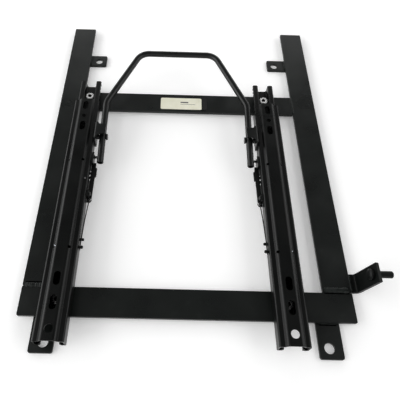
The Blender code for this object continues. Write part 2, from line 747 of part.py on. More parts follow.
def make_handle():
    corners = [(-ROD_OFFSET, ROD_END_Y), (-ROD_OFFSET, KNEE_Y), (-GRIP_HALF, GRIP_Y),
               (GRIP_HALF, GRIP_Y), (ROD_OFFSET, KNEE_Y), (ROD_OFFSET, ROD_END_Y)]
    bends = [None, KNEE_BEND, GRIP_BEND, GRIP_BEND, KNEE_BEND, None]
    flat = []
    for k, corner in enumerate(corners):
        if bends[k] is None:
            flat.append(corner)
        else:
            three = [corners[k - 1], corner, corners[k + 1]]
            flat += rounded(three, bends[k], 7, closed=False)[1:-1]
    curve = bpy.data.curves.new("handle", "CURVE")
    curve.dimensions = "3D"
    curve.bevel_depth = ROD_RADIUS
    curve.bevel_resolution = 6
    curve.use_fill_caps = True
    spline = curve.splines.new("POLY")
    spline.points.add(len(flat) - 1)
    for target, (x, y) in zip(spline.points, flat):
        target.co = (x, y - PIVOT_Y, handle_level(y) - PIVOT_Z, 1)
    mesh = mesh_from_curve(curve)
    handle = finish("handle_bar", mesh, (PAIR_X, PIVOT_Y, PIVOT_Z), smooth=True)
    for side in SIDE_NAMES:
        tool(handle, cylinder_mesh(PIN_RADIUS + PIN_CLEARANCE, 0.02, sides=16, axis="X",
                                   middle=(side * ROD_OFFSET, 0, 0)))
        bore = cylinder_mesh(BORE_RADIUS, 2 * BORE_DEPTH, sides=16, axis="Y")
        bore.transform(Matrix.Rotation(math.atan(HANDLE_SLOPE), 4, "X"))
        bore.transform(Matrix.Translation((side * ROD_OFFSET, ROD_END_Y - PIVOT_Y,
                                           handle_level(ROD_END_Y) - PIVOT_Z)))
        tool(handle, bore)


def make_holder(side, name):
    """A plate on the rail's wall, bent over the top of the handle's rod."""
    near = WALL_FACE - SEAM - HOLDER_SHEET / 2
    far = ROD_OFFSET - ROD_RADIUS
    top = HOLDER_TOP_Z - HOLDER_SHEET / 2
    rear = PIVOT_Y - HOLDER_BASE_REAR
    front = PIVOT_Y + HOLDER_BASE_FRONT
    middle = (rear + front) / 2
    path = [(near, HOLDER_BASE_Z), (near, top), (far, top)]
    path = [(side * (u - near), z) for u, z in path]
    mesh = ribbon_mesh(rounded(path, HOLDER_BEND, closed=False), front - rear)
    holder = finish("handle_holder_" + name, mesh, (side_x(side, near), middle, 0))
    thicken(holder, HOLDER_SHEET)
    edge = HOLDER_SHEET
    plate_rear = PIVOT_Y - HOLDER_REAR_REACH
    plate_front = PIVOT_Y + HOLDER_PLATE_REACH
    plan = [(edge, rear - edge), (edge, front + edge), (-edge, front + edge),
            (-edge - HOLDER_NOTCH_FRONT, plate_front), (far - near - edge, plate_front),
            (far - near - edge, plate_rear), (-edge - HOLDER_NOTCH_REAR, plate_rear),
            (-edge, rear - edge)]
    plan = [(side * x, y - middle) for x, y in plan]
    keep = plate_mesh([plan], 2 * HOLDER_TOP_Z)
    keep.transform(Matrix.Translation((0, 0, HOLDER_TOP_Z)))
    tool(holder, keep, "INTERSECT")
    tool(holder, cylinder_mesh(PIN_RADIUS + PIN_CLEARANCE, 4 * HOLDER_SHEET, sides=16, axis="X",
                               middle=(0, PIVOT_Y - middle, PIVOT_Z)))


def make_handle_pin(side, name):
    """The pivot pin, headed on the handle's outer side, and the spacer between rod and holder."""
    end = WALL_FACE - SEAM
    start = ROD_OFFSET - ROD_RADIUS - SEAM
    head = HANDLE_PIN_HEAD_THICK
    profile = [(0, start - head - end), (HANDLE_PIN_HEAD, start - head - end),
               (HANDLE_PIN_HEAD, start - end), (PIN_RADIUS, start - end), (PIN_RADIUS, 0), (0, 0)]
    mesh = turned_mesh([(r, -z) for r, z in profile], 16)
    along_x(mesh, flip=side == 1)
    finish("handle_pin_" + name, mesh, (side_x(side, end), PIVOT_Y, PIVOT_Z), ZINC, 0.4, 1.0,
           smooth=True)
    low = ROD_OFFSET + ROD_RADIUS + SEAM
    high = WALL_FACE - 2 * SEAM - HOLDER_SHEET
    rings = [ring(0, 0, SPACER_RADIUS), ring(0, 0, PIN_RADIUS + PIN_CLEARANCE, 16)]
    spacer = plate_mesh(rings, high - low, STAND_YZ)
    finish("handle_spacer_" + name, spacer, (side_x(side, (low + high) / 2), PIVOT_Y, PIVOT_Z),
           smooth=True)


def make_latch(side, name):
    """A flat plate with two fingers, an ear on the rivet and a forked arm for the link pin."""
    base = LATCH_TOP_Z - LATCH_SHEET / 2
    inner = WALL_FACE - LATCH_CLEARANCE
    tab_out = LATCH_OUT - LATCH_TAB_REACH
    tip = WALL_FACE + FINGER_REACH
    bevel = LATCH_TAB_BEVEL
    outline = [(LATCH_OUT + LATCH_SPLAY, LATCH_FRONT_Y), (LATCH_OUT, LATCH_TAB_Y[1]),
               (tab_out, LATCH_TAB_Y[1] - bevel), (tab_out, LATCH_TAB_Y[0] + bevel),
               (LATCH_OUT, LATCH_TAB_Y[0]), (LATCH_OUT + LATCH_SPLAY, LATCH_REAR_Y + LATCH_TAIL),
               (LATCH_OUT + LATCH_TAIL_CUT, LATCH_REAR_Y), (inner, LATCH_REAR_Y)]
    for k in range(2):
        y = FINGER_Y + k * NOTCH_PITCH
        outline += [(inner, y - FINGER_WIDTH / 2), (tip, y - FINGER_WIDTH / 2),
                    (tip, y + FINGER_WIDTH / 2), (inner, y + FINGER_WIDTH / 2)]
    outline += [(inner, LATCH_FRONT_Y)]
    outline = [(side * (u - LATCH_OUT), y - LATCH_Y) for u, y in outline]
    hole = ring(side * (WIRE_START - LATCH_OUT), SPRING_HOLE_Y - LATCH_Y, SPRING_HOLE_RADIUS, 16)
    mesh = plate_mesh([outline, hole], LATCH_SHEET)
    mesh.transform(Matrix.Translation((0, 0, base - LATCH_Z)))
    latch = finish("latch_plate_" + name, mesh, (side_x(side, LATCH_OUT), LATCH_Y, LATCH_Z))
    arm_x = sorted((side * (inner - ARM_THICK - LATCH_OUT), side * (inner - LATCH_OUT)))
    low = LATCH_TOP_Z - LATCH_SHEET
    tool(latch, block_mesh((arm_x[0], LATCH_FRONT_Y - ARM_LAP - LATCH_Y, low - LATCH_Z),
                           (arm_x[1], ARM_END_Y - LATCH_Y, ARM_TOP_Z - LATCH_Z)), "UNION")
    ear_x = sorted((side * (inner - EAR_THICK - LATCH_OUT), side * (inner - LATCH_OUT)))
    tool(latch, block_mesh((ear_x[0], -EAR_HALF, low + EAR_BURY - LATCH_Z),
                           (ear_x[1], EAR_HALF, EAR_TOP_Z - LATCH_Z)), "UNION")
    link_z = handle_level(LINK_Y)
    slot = LINK_RADIUS + RUNNING_GAP
    past = SHEET
    tool(latch, block_mesh((arm_x[0] - past, LINK_Y - slot - FORK_DROP - LATCH_Y, link_z - slot - LATCH_Z),
                           (arm_x[1] + past, ARM_END_Y + past - LATCH_Y, link_z + slot - LATCH_Z)))
    tool(latch, cylinder_mesh(RIVET_RADIUS + PIN_CLEARANCE, 6 * ARM_THICK, sides=16, axis="X",
                              middle=(side * (inner - LATCH_OUT), 0, 0)))
    make_latch_pins(side, name, inner, link_z)


def make_latch_pins(side, name, inner, link_z):
    """The rivet that the plate swings on, and the link pin from the rod into the fork."""
    head_at = inner - EAR_THICK - SEAM
    head = RIVET_HEAD_THICK
    shank = WALL_BACK - SHANK_RECESS - head_at
    profile = [(0, head), (RIVET_HEAD_RADIUS - head / 2, head), (RIVET_HEAD_RADIUS, head / 2),
               (RIVET_HEAD_RADIUS, 0), (RIVET_RADIUS, 0), (RIVET_RADIUS, -shank), (0, -shank)]
    rivet = along_x(turned_mesh(profile, 16), flip=side == 1)
    finish("latch_rivet_" + name, rivet, (side_x(side, head_at), LATCH_Y, LATCH_Z), smooth=True)
    start = ROD_OFFSET + ROD_RADIUS + SEAM
    link = cylinder_mesh(LINK_RADIUS, inner - start, sides=16, axis="X")
    finish("link_pin_" + name, link, (side_x(side, (start + inner) / 2), LINK_Y, link_z), smooth=True)


def make_spring(side, name):
    """A wire from the latch plate's tail, over one post and under the other."""
    start = WIRE_START
    points = [(start, SPRING_HOLE_Y, WIRE_Z - WIRE_TAIL), (start, SPRING_HOLE_Y, WIRE_Z - WIRE_BEND),
              (start, SPRING_HOLE_Y - WIRE_BEND, WIRE_Z)]
    first = SPRING_HOLE_Y - 3 * WIRE_BEND
    for k in range(WIRE_STEPS + 1):
        t = k / WIRE_STEPS
        bow = WIRE_BOW * math.sin(t * math.pi / 2) ** 0.8
        points.append((start + bow, first - t * (first - WIRE_END_Y), WIRE_Z))
    curve = bpy.data.curves.new("wire", "CURVE")
    curve.dimensions = "3D"
    curve.bevel_depth = WIRE_RADIUS
    curve.bevel_resolution = 2
    curve.use_fill_caps = True
    spline = curve.splines.new("POLY")
    spline.points.add(len(points) - 1)
    for target, (u, y, z) in zip(spline.points, points):
        target.co = (side * (u - start), y - SPRING_HOLE_Y, z - WIRE_Z, 1)
    wire = mesh_from_curve(curve)
    finish("spring_wire_" + name, wire, (side_x(side, start), SPRING_HOLE_Y, WIRE_Z), STEEL, 0.4, 1.0,
           smooth=True)
    for end, (y, z, radius, reach) in (("front", POST_FRONT), ("rear", POST_REAR)):
        shank = SHEET - SHANK_RECESS
        profile = [(0, reach), (radius * 0.7, reach), (radius, reach - radius * 0.4),
                   (radius, -shank), (0, -shank)]
        post = along_x(turned_mesh(profile, 16), flip=side == 1)
        finish("spring_post_%s_%s" % (name, end), post, (side_x(side, WALL_FACE), y, z), ZINC, 0.3,
               1.0, smooth=True)


def main():
    clear_scene()
    make_collections()
    make_frame_bars()
    make_tabs()
    make_buckle_bracket()
    make_label()
    make_rail_screws()
    make_handle()
    make_shoulder_rivet()
    for side, name in SIDE_NAMES.items():
        make_lower_rail(side, name)
        make_upper_rail(side, name)
        make_ball_track(side, name)
        make_holder(side, name)
        make_handle_pin(side, name)
        make_latch(side, name)
        make_spring(side, name)


main()
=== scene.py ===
"""The bucket seat base in its finish: black bars, two sliders, the towel bar and its fittings."""
import math

import bmesh
import bpy
from mathutils import Matrix, Vector


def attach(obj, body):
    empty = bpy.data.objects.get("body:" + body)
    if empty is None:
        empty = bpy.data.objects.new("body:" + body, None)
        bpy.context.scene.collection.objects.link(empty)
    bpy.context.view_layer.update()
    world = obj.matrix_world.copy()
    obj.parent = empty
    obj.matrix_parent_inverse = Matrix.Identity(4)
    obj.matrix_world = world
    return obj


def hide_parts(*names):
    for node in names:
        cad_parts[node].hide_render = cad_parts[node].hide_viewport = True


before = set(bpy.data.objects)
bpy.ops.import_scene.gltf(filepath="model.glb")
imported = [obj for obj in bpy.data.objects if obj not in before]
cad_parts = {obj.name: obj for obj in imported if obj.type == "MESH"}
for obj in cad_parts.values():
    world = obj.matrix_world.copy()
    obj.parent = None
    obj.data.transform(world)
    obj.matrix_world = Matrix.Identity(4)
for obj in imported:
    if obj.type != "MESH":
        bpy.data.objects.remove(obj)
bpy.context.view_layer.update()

SEAM = 0.0003
MERGE = 0.000002
FULL_CORNER = 0.9999
SIDES = {"left": -1, "right": 1}


def node_box(name):
    """The lowest and highest corner of a node."""
    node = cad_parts[name]
    spots = [node.matrix_world @ vertex.co for vertex in node.data.vertices]
    return (Vector([min(spot[k] for spot in spots) for k in range(3)]),
            Vector([max(spot[k] for spot in spots) for k in range(3)]))


# The frame of flat bars, measured from its nodes
LEFT_BAR = node_box("side_bar_left")
RIGHT_BAR = node_box("side_bar_right")
REAR_BAR = node_box("cross_bar_rear")
FRONT_BAR = node_box("cross_bar_front")
MIDDLE = -Vector(((LEFT_BAR[0].x + RIGHT_BAR[1].x) / 2, REAR_BAR[0].y, 0))
HALF_FRAME = (RIGHT_BAR[1].x - LEFT_BAR[0].x) / 2
BAR_WIDTH = RIGHT_BAR[1].x - RIGHT_BAR[0].x
BAR_BASE_Z, BAR_TOP_Z = RIGHT_BAR[0].z, RIGHT_BAR[1].z
BAR_CORNER = 0.002
TAB_THICK = BAR_BASE_Z - SEAM
TAB_CORNER = 0.003
# Each tab's bolt hole: its middle and its radius
TAB_HOLES = {"front_tab_left": (-0.1605, 0.4580, 0.006), "front_tab_right": (0.1560, 0.4580, 0.006),
             "rear_tab_left": (-0.1757, -0.0295, 0.0065), "rear_tab_right": (0.1742, -0.0295, 0.0065)}
EDGE_ROUND = 0.0006

# Label: clear film, printed ivory and two plain lines of ink
FILM_THICK, PRINT_THICK, INK_THICK = 0.00022, 0.00014, 0.00002
FILM_EDGE, PRINT_EDGE, INK_EDGE = 0.00004, 0.00003, 0.0
FILM_CORNER, PRINT_CORNER, INK_CORNER = 0.003, 0.0026, 0.0001
PRINT_WIDE, PRINT_DEEP = 0.0682, 0.0250
PRINT_MARGIN, PRINT_DROP = 0.0004, 0.0003
INK_START = 0.0330
# Each line's length, width and height on the print
INK_LINES = ((0.0130, 0.0026, 0.0026), (0.0250, 0.0007, -0.0016))

# Weld beads and the dark strips of painted shade in their seams: their radii, and how far they stop short
# of an edge
JOINT_BEAD, FRONT_BEAD, ROOT_BEAD, SEAM_SHADE = 0.0033, 0.0017, 0.0013, 0.0008
BEAD_STEP = 0.00045
BEAD_STOP, FRONT_TAB_STOP, REAR_TAB_STOP = 0.002, 0.003, 0.004
JOINT_STOP_INNER, JOINT_STOP_OUTER = 0.0015, 0.0035
# The left joint's bead and its strip of painted shade, measured forward from the joint
LEFT_BEAD_FORWARD, LEFT_SEAM_SHADE_FORWARD = 0.0012, 0.0051
# How far root beads lie above a tab's top or below the bar's top
FRONT_ROOT_RISE, REAR_ROOT_RISE, BRACKET_ROOT_DROP = 0.0006, 0.0004, 0.0006

# Sliders
PAIR_X = -0.019
RAIL_HALF_PITCH = HALF_FRAME - 0.0685
SHEET = 0.0018
FOLD = 0.0018
WEB_FOLD = 0.0048
FLOOR_Z = BAR_TOP_Z + SEAM + SHEET / 2
LOWER_Y = (-0.006, 0.3886)
UPPER_Y = (-0.035, 0.339)
LOWER_WALL, LOWER_HOOK, LOWER_RISE, HOOK_DROP = 0.0089, 0.0158, 0.0131, 0.0052
UPPER_WEB, UPPER_STEP, UPPER_WALL, UPPER_LIP = 0.0083, 0.0118, 0.0183, 0.0123
WEB_RISE, SHOULDER_RISE, LIP_RISE, LIP_HEIGHT = 0.0241, 0.0196, 0.0026, 0.0062
FLOOR_CUT_WIDE, FLOOR_CUT_DEEP, FLOOR_CUT_CORNER = 0.0140, 0.0028, 0.0012
# Each slot's place along the rail, length and width, and each round hole's place and width
SLOTS = ((0.3245, 0.0165, 0.0082), (0.2835, 0.0165, 0.0082),
         (0.0400, 0.0180, 0.0084), (0.0100, 0.0180, 0.0084))
ROUND_HOLES = ((0.3030, 0.0064), (-0.0210, 0.0105))
DIMPLE_Y = (0.2205, 0.0824)
DIMPLE_RADIUS, DIMPLE_DEPTH = 0.0030, 0.0016
# The painted highlight on each rear dimple's far wall: its radius, and how far forward of the dimple's
# middle it lies, in dimple radii
DIMPLE_GLINT_RADIUS, DIMPLE_GLINT_FORWARD = 0.0013, 0.7
SMALL_HOLE, SMALL_HOLE_X = 0.0040, 0.0090
WINDOW_Y, WINDOW_TOP_Z, WINDOW_WIDE, WINDOW_CORNER = (0.1945, 0.2135), 0.0227, 0.0160, 0.0008
PUNCH_REACH, WEB_PUNCH_REACH, WINDOW_BELOW = 0.006, 0.010, 0.002
RAIL_EDGE_ROUND, RAIL_EDGE_ANGLE = 0.0003, 40
NOTCH_PITCH, NOTCH_LAST_Y, NOTCH_COUNT = 0.0075, 0.3872, 26
NOTCH_WIDTH, NOTCH_DEPTH, NOTCH_REACH = 0.0044, 0.0034, 0.004
SCREW_Y = (0.3595, 0.0190)
SCREW_HEAD, SCREW_HEIGHT, SCREW_SHANK = 0.0065, 0.008, 0.004
SOCKET_RADIUS, SOCKET_DEPTH, SCREW_EDGE_ROUND = 0.00346, 0.0052, 0.0008
BALL_RADIUS = 0.002

# Handle
ROD_OFFSET = RAIL_HALF_PITCH - 0.032
GRIP_HALF = ROD_OFFSET - 0.0505
ROD_RADIUS, ROD_END_Y, PIVOT_Y, PIVOT_Z = 0.005, 0.223, 0.268, 0.0282
HANDLE_SLOPE, KNEE_Y, GRIP_Y = 0.114, 0.3317, 0.4338
KNEE_BEND, GRIP_BEND = 0.030, 0.0225
BORE_RADIUS, BORE_DEPTH, BORE_OUT = 0.0036, 0.020, 0.002


def rig(x, y, z=0.0):
    """A point measured from the rear bar's rear edge and the frame's middle line."""
    return Vector((x, y, z)) - MIDDLE


def side_x(turn, offset):
    """A place to the left or the right of the sliders' middle line."""
    return PAIR_X + turn * offset


class Tree:
    """A geometry tree with named inputs, written one node at a time."""

    def __init__(self, name, **inputs):
        self.group = bpy.data.node_groups.new(name, "GeometryNodeTree")
        face = self.group.interface
        face.new_socket("Geometry", in_out="INPUT", socket_type="NodeSocketGeometry")
        # An object's input is given as an empty text, and a material's as None
        kinds = {float: "NodeSocketFloat", int: "NodeSocketInt", tuple: "NodeSocketVector",
                 str: "NodeSocketObject", type(None): "NodeSocketMaterial"}
        for label, value in inputs.items():
            socket = face.new_socket(label, in_out="INPUT", socket_type=kinds[type(value)])
            if isinstance(value, (float, int, tuple)):
                socket.default_value = value
        face.new_socket("Geometry", in_out="OUTPUT", socket_type="NodeSocketGeometry")
        self.source = self.group.nodes.new("NodeGroupInput")
        self.base = self.source.outputs["Geometry"]

    def value(self, label):
        return self.source.outputs[label]

    def add(self, kind, links=None, output=0, **settings):
        """A node with its settings and its inputs, as values or as other nodes' outputs."""
        node = self.group.nodes.new(kind)
        for key, setting in settings.items():
            setattr(node, key, setting)
        for key, given in (links or {}).items():
            socket = node.inputs[key]
            if isinstance(given, bpy.types.NodeSocket):
                self.group.links.new(given, socket)
            elif isinstance(given, list):
                for one in given:
                    self.group.links.new(one, socket)
            else:
                socket.default_value = given
        return node.outputs[output]

    def math(self, operation, a, b=0.0):
        return self.add("ShaderNodeMath", {0: a, 1: b}, operation=operation)

    def finish(self, geometry, smooth=True, paint=True):
        """Realizes the instances, shades the faces and sets the material."""
        shape = self.add("GeometryNodeRealizeInstances", {"Geometry": geometry})
        shape = self.add("GeometryNodeSetShadeSmooth", {"Geometry": shape, "Shade Smooth": smooth})
        if paint:
            finish = self.value("Finish")
            shape = self.add("GeometryNodeSetMaterial", {"Geometry": shape, "Material": finish})
        end = self.group.nodes.new("NodeGroupOutput")
        self.group.links.new(shape, end.inputs["Geometry"])
        return self


def grow(name, tree, base=None, after=(), **values):
    """Runs a tree and returns its result as a plain mesh object."""
    mesh = base or bpy.data.meshes.new(name)
    holder = bpy.data.objects.new(name + "_seed", mesh)
    bpy.context.scene.collection.objects.link(holder)
    growth = holder.modifiers.new("growth", "NODES")
    growth.node_group = tree.group
    for item in tree.group.interface.items_tree:
        if item.in_out == "INPUT" and item.name in values:
            growth[item.identifier] = values[item.name]
    for step in after:
        step(holder)
    bpy.context.view_layer.update()
    result = bpy.data.meshes.new_from_object(
        holder.evaluated_get(bpy.context.evaluated_depsgraph_get()))
    bpy.data.objects.remove(holder, do_unlink=True)
    bpy.data.meshes.remove(mesh)
    outward(result)
    result.name = name
    piece = bpy.data.objects.new(name, result)
    bpy.context.scene.collection.objects.link(piece)
    return piece


def outward(mesh):
    """Turns every face outwards."""
    shape = bmesh.new()
    shape.from_mesh(mesh)
    bmesh.ops.recalc_face_normals(shape, faces=shape.faces)
    shape.to_mesh(mesh)
    shape.free()


def put_on(piece, body, slot, *nodes):
    """Rides the piece on its body and hides the nodes that it stands for. The slot is not used."""
    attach(piece, body)
    if nodes:
        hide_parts(*nodes)
    return piece


def rounded_edges(width, segments=2, angle=35):
    def step(holder):
        bevel = holder.modifiers.new("edge", "BEVEL")
        bevel.width = width
        bevel.segments = segments
        bevel.limit_method = "ANGLE"
        bevel.angle_limit = math.radians(angle)
        bevel.use_clamp_overlap = True
        bevel.harden_normals = False
        weigh = holder.modifiers.new("weigh", "WEIGHTED_NORMAL")
        weigh.mode = "FACE_AREA"
        weigh.weight = 100
        weigh.keep_sharp = True
    return step


def drawn(loops):
    """A mesh of lines. Each loop is (points, corner radii, closed)."""
    points, lines, radii = [], [], []
    for loop, corners, closed in loops:
        start = len(points)
        points += [tuple(p) for p in loop]
        if isinstance(corners, (int, float)):
            corners = [corners] * len(loop)
        radii += corners
        lines += [(start + k, start + k + 1) for k in range(len(loop) - 1)]
        if closed:
            lines.append((start + len(loop) - 1, start))
    mesh = bpy.data.meshes.new("lines")
    mesh.from_pydata(points, lines, [])
    mesh.attributes.new("corner", "FLOAT", "POINT").data.foreach_set("value", radii)
    return mesh


def box_loop(x, y, width, length, corner):
    """A closed rectangle about a point, for an outline, a slot or a round hole."""
    return ([(x - width / 2, y - length / 2, 0), (x + width / 2, y - length / 2, 0),
             (x + width / 2, y + length / 2, 0), (x - width / 2, y + length / 2, 0)], corner, True)


def round_loop(x, y, radius):
    """A circle, as a square whose corner radii almost meet."""
    return box_loop(x, y, 2 * radius, 2 * radius, radius * FULL_CORNER)


# Shader helpers


class Paint:
    """A material's nodes, written one at a time, with the pattern on Object coordinates."""

    def __init__(self, name):
        self.material = bpy.data.materials.new(name)
        self.material.use_nodes = True
        self.tree = self.material.node_tree
        self.shader = self.tree.nodes["Principled BSDF"]
        self.place = self.add("ShaderNodeTexCoord", output="Object")

    def add(self, kind, links=None, output=0, **settings):
        node = self.tree.nodes.new(kind)
        for key, setting in settings.items():
            setattr(node, key, setting)
        for key, given in (links or {}).items():
            if isinstance(given, bpy.types.NodeSocket):
                self.tree.links.new(given, node.inputs[key])
            else:
                node.inputs[key].default_value = given
        return node.outputs[output]

    def stretched(self, scale):
        return self.add("ShaderNodeMapping", {"Vector": self.place, "Scale": scale})

    def noise(self, scale, detail=3.0, vector=None):
        return self.add("ShaderNodeTexNoise", {"Vector": vector or self.place, "Scale": scale,
                                               "Detail": detail})

    def spread(self, value, low, high, start=0.3, end=0.7):
        return self.add("ShaderNodeMapRange", {"Value": value, "From Min": start, "From Max": end,
                                               "To Min": low, "To Max": high})

    def blend(self, factor, first, second):
        return self.add("ShaderNodeMix", {"Factor": factor, 6: first, 7: second}, output=2,
                        data_type="RGBA")

    def bump(self, height, distance, strength=1.0, below=None):
        links = {"Height": height, "Distance": distance, "Strength": strength}
        if below is not None:
            links["Normal"] = below
        return self.add("ShaderNodeBump", links)

    def wire(self, value, socket):
        self.tree.links.new(value, self.shader.inputs[socket])

    def math(self, operation, a, b=0.0):
        return self.add("ShaderNodeMath", {0: a, 1: b}, operation=operation)


def grey(level, warm=0.0):
    return (level * (1 + warm), level, level * (1 - warm), 1)


# The bright metal colour of the painted highlights in the rails' rear dimples
GLINT_COLOUR = (0.62, 0.66, 0.72, 1)


def coat_black(level):
    """A coat's black, which leans slightly to green."""
    return (level * 0.88, level * 1.10, level * 1.0, 1)


def black_coat(name, level, roughness, grain, gleam=0.3, streak=(1, 1, 1), glint_spots=()):
    """A baked black coat: orange peel, slow patches of gloss, faint rubs, dust and painted highlights at
    given spots.
    """
    paint = Paint(name)
    slow = paint.noise(22.0, 3.0)
    streaks = paint.noise(90.0, 4.0, paint.stretched(streak))
    peel = paint.noise(grain, 2.0)
    fine = paint.noise(grain * 4, 1.0)
    specks = paint.add("ShaderNodeTexVoronoi", {"Vector": paint.place, "Scale": 420.0})
    dust = paint.spread(specks, 1.0, 0.0, 0.06, 0.16)
    patchy = paint.spread(paint.noise(55.0, 2.0), 0.0, 1.0, 0.55, 0.72)
    facing = paint.add("ShaderNodeSeparateXYZ", {0: paint.add("ShaderNodeNewGeometry", output="Normal")},
                       output=2)
    upward = paint.spread(facing, 0.0, 1.0, 0.2, 0.9)
    dust = paint.math("MULTIPLY", paint.math("MULTIPLY", dust, patchy), upward)
    tone = paint.blend(paint.spread(slow, 0.0, 1.0), coat_black(level * 0.86), coat_black(level * 1.16))
    rubbed = paint.spread(streaks, 0.0, 0.5, 0.60, 0.78)
    tone = paint.blend(rubbed, tone, coat_black(level * 1.7))
    tone = paint.blend(paint.math("MULTIPLY", dust, 0.35), tone, grey(level * 6.0, 0.03))
    # Painted highlights: the coat turns to a bright metal colour at each given spot
    for spot, radius in glint_spots:
        away = paint.add("ShaderNodeVectorMath", {0: paint.place, 1: spot}, output="Value",
                         operation="DISTANCE")
        glint = paint.spread(away, 1.0, 0.0, radius * 0.6, radius)
        tone = paint.blend(glint, tone, GLINT_COLOUR)
    paint.wire(tone, "Base Color")
    rough = paint.spread(slow, roughness - 0.05, roughness + 0.07)
    rough = paint.math("ADD", rough, paint.math("MULTIPLY", rubbed, 0.12))
    rough = paint.math("ADD", rough, paint.math("MULTIPLY", dust, 0.3))
    paint.wire(rough, "Roughness")
    paint.shader.inputs["Specular IOR Level"].default_value = gleam
    normal = paint.bump(peel, 0.00006, 0.35)
    normal = paint.bump(fine, 0.00002, 0.25, normal)
    paint.wire(normal, "Normal")
    return paint.material


def plated(name, tone, roughness, grain=900.0, warm=0.0):
    """Zinc plate or drawn steel: a bright metal with fine grain and slightly clouded."""
    paint = Paint(name)
    cloud = paint.noise(130.0, 4.0)
    fine = paint.noise(grain, 3.0)
    clouded = paint.spread(cloud, 0.0, 1.0)
    colour = paint.blend(clouded, grey(tone * 0.82, warm), grey(tone * 1.08, warm / 2))
    paint.wire(colour, "Base Color")
    paint.wire(paint.spread(fine, roughness - 0.07, roughness + 0.1), "Roughness")
    paint.shader.inputs["Metallic"].default_value = 1.0
    paint.wire(paint.bump(fine, 0.00002, 0.4), "Normal")
    return paint.material


def weld_coat(name, level):
    """Black coat over a lumpy weld bead, glossier and with pits."""
    paint = Paint(name)
    lumps = paint.noise(520.0, 4.0)
    lumpy = paint.spread(lumps, 0.0, 1.0)
    paint.wire(paint.blend(lumpy, coat_black(level * 0.6), coat_black(level * 1.5)), "Base Color")
    paint.wire(paint.spread(lumps, 0.24, 0.5), "Roughness")
    paint.shader.inputs["Specular IOR Level"].default_value = 0.2
    paint.wire(paint.bump(lumps, 0.0003, 0.6), "Normal")
    return paint.material


def label_paper(name):
    """Ivory print film with a faint fibre and slightly uneven tone."""
    paint = Paint(name)
    slow = paint.noise(60.0, 3.0)
    fibre = paint.noise(1400.0, 3.0)
    colour = paint.blend(paint.spread(slow, 0.0, 1.0), (0.80, 0.785, 0.62, 1), (0.88, 0.87, 0.72, 1))
    paint.wire(colour, "Base Color")
    paint.wire(paint.spread(fibre, 0.28, 0.42), "Roughness")
    paint.wire(paint.bump(fibre, 0.00001, 0.3), "Normal")
    paint.shader.inputs["Coat Weight"].default_value = 0.4
    paint.shader.inputs["Coat Roughness"].default_value = 0.12
    return paint.material


def clear_film(name, level):
    """Clear film over the black bar, seen as a glossier black."""
    paint = Paint(name)
    ripple = paint.noise(150.0, 2.0)
    paint.wire(paint.blend(ripple, grey(level * 0.9), grey(level * 1.3)), "Base Color")
    paint.wire(paint.spread(ripple, 0.10, 0.2), "Roughness")
    paint.wire(paint.bump(ripple, 0.0001, 0.3), "Normal")
    return paint.material


def moulded(name, level):
    """Dull moulded plastic, ink or painted shade in a recess, with a fine grain."""
    paint = Paint(name)
    grain = paint.noise(800.0, 3.0)
    tone = paint.blend(paint.spread(grain, 0.0, 1.0), grey(level * 0.85), grey(level * 1.2))
    paint.wire(tone, "Base Color")
    paint.wire(paint.spread(grain, 0.42, 0.6), "Roughness")
    paint.wire(paint.bump(grain, 0.00003, 0.4), "Normal")
    return paint.material


def slope_spots(side, lift, places_y):
    """Points above the middle of the slope between an upper rail's web and its outer shoulder."""
    turn = SIDES[side]
    run, fall = UPPER_STEP - UPPER_WEB, WEB_RISE - SHOULDER_RISE
    slope = math.hypot(run, fall)
    x = side_x(turn, RAIL_HALF_PITCH) + turn * ((UPPER_WEB + UPPER_STEP) / 2 + lift * fall / slope)
    z = FLOOR_Z + (WEB_RISE + SHOULDER_RISE) / 2 + lift * run / slope
    return [tuple(rig(x, y, z)) for y in places_y]


def dimple_glints():
    """Spots on the rear dimples' far walls, each with its radius, where a highlight is painted in a bright
    metal colour.
    """
    spot_y = DIMPLE_Y[-1] + DIMPLE_RADIUS * DIMPLE_GLINT_FORWARD
    return [(slope_spots(side, SHEET / 2 - DIMPLE_DEPTH / 2, [spot_y])[0], DIMPLE_GLINT_RADIUS) for side in SIDES]


BAR_BLACK = black_coat("bar_powder_coat", 0.0060, 0.30, 620.0, 0.30)
# The slider coat carries a painted highlight in each rear dimple
RAIL_BLACK = black_coat("slider_dip_coat", 0.0018, 0.28, 380.0, 0.23, (9, 0.6, 9), dimple_glints())
HANDLE_BLACK = black_coat("handle_gloss_coat", 0.0030, 0.28, 460.0, 0.34)
LATCH_BLACK = black_coat("latch_coat", 0.0030, 0.30, 500.0, 0.30)
BRACKET_BLACK = black_coat("bracket_coat", 0.0036, 0.36, 620.0, 0.12)
STUD_BLACK = black_coat("stud_coat", 0.0030, 0.34, 500.0, 0.16)
WELD_BLACK = weld_coat("weld_under_coat", 0.0105)
# A flat black with no gleam: painted shade for the dark seams beside the weld beads
SEAM_SHADE_BLACK = black_coat("weld_undercut_shadow", 0.0006, 0.6, 500.0, 0.0)
ZINC = plated("bright_zinc", 0.90, 0.26, warm=0.005)
WIRE_STEEL = plated("spring_wire_steel", 0.030, 0.34, warm=0.01)
CAGE_STEEL = plated("greased_cage_steel", 0.07, 0.42)
BALL_STEEL = plated("greased_ball_steel", 0.30, 0.16)
RIVET_STEEL = plated("dulled_rivet_steel", 0.12, 0.38)
GLIDE_NYLON = moulded("glide_nylon", 0.02)
SOCKET_DARK = moulded("screw_socket_shadow", 0.015)
POST_DARK = black_coat("post_coat", 0.0016, 0.35, 700.0, 0.16)
LABEL_IVORY = label_paper("label_ivory")
LABEL_FILM = clear_film("label_clear_margin", 0.012)
LABEL_INK = moulded("label_ink", 0.10)


# Geometry trees


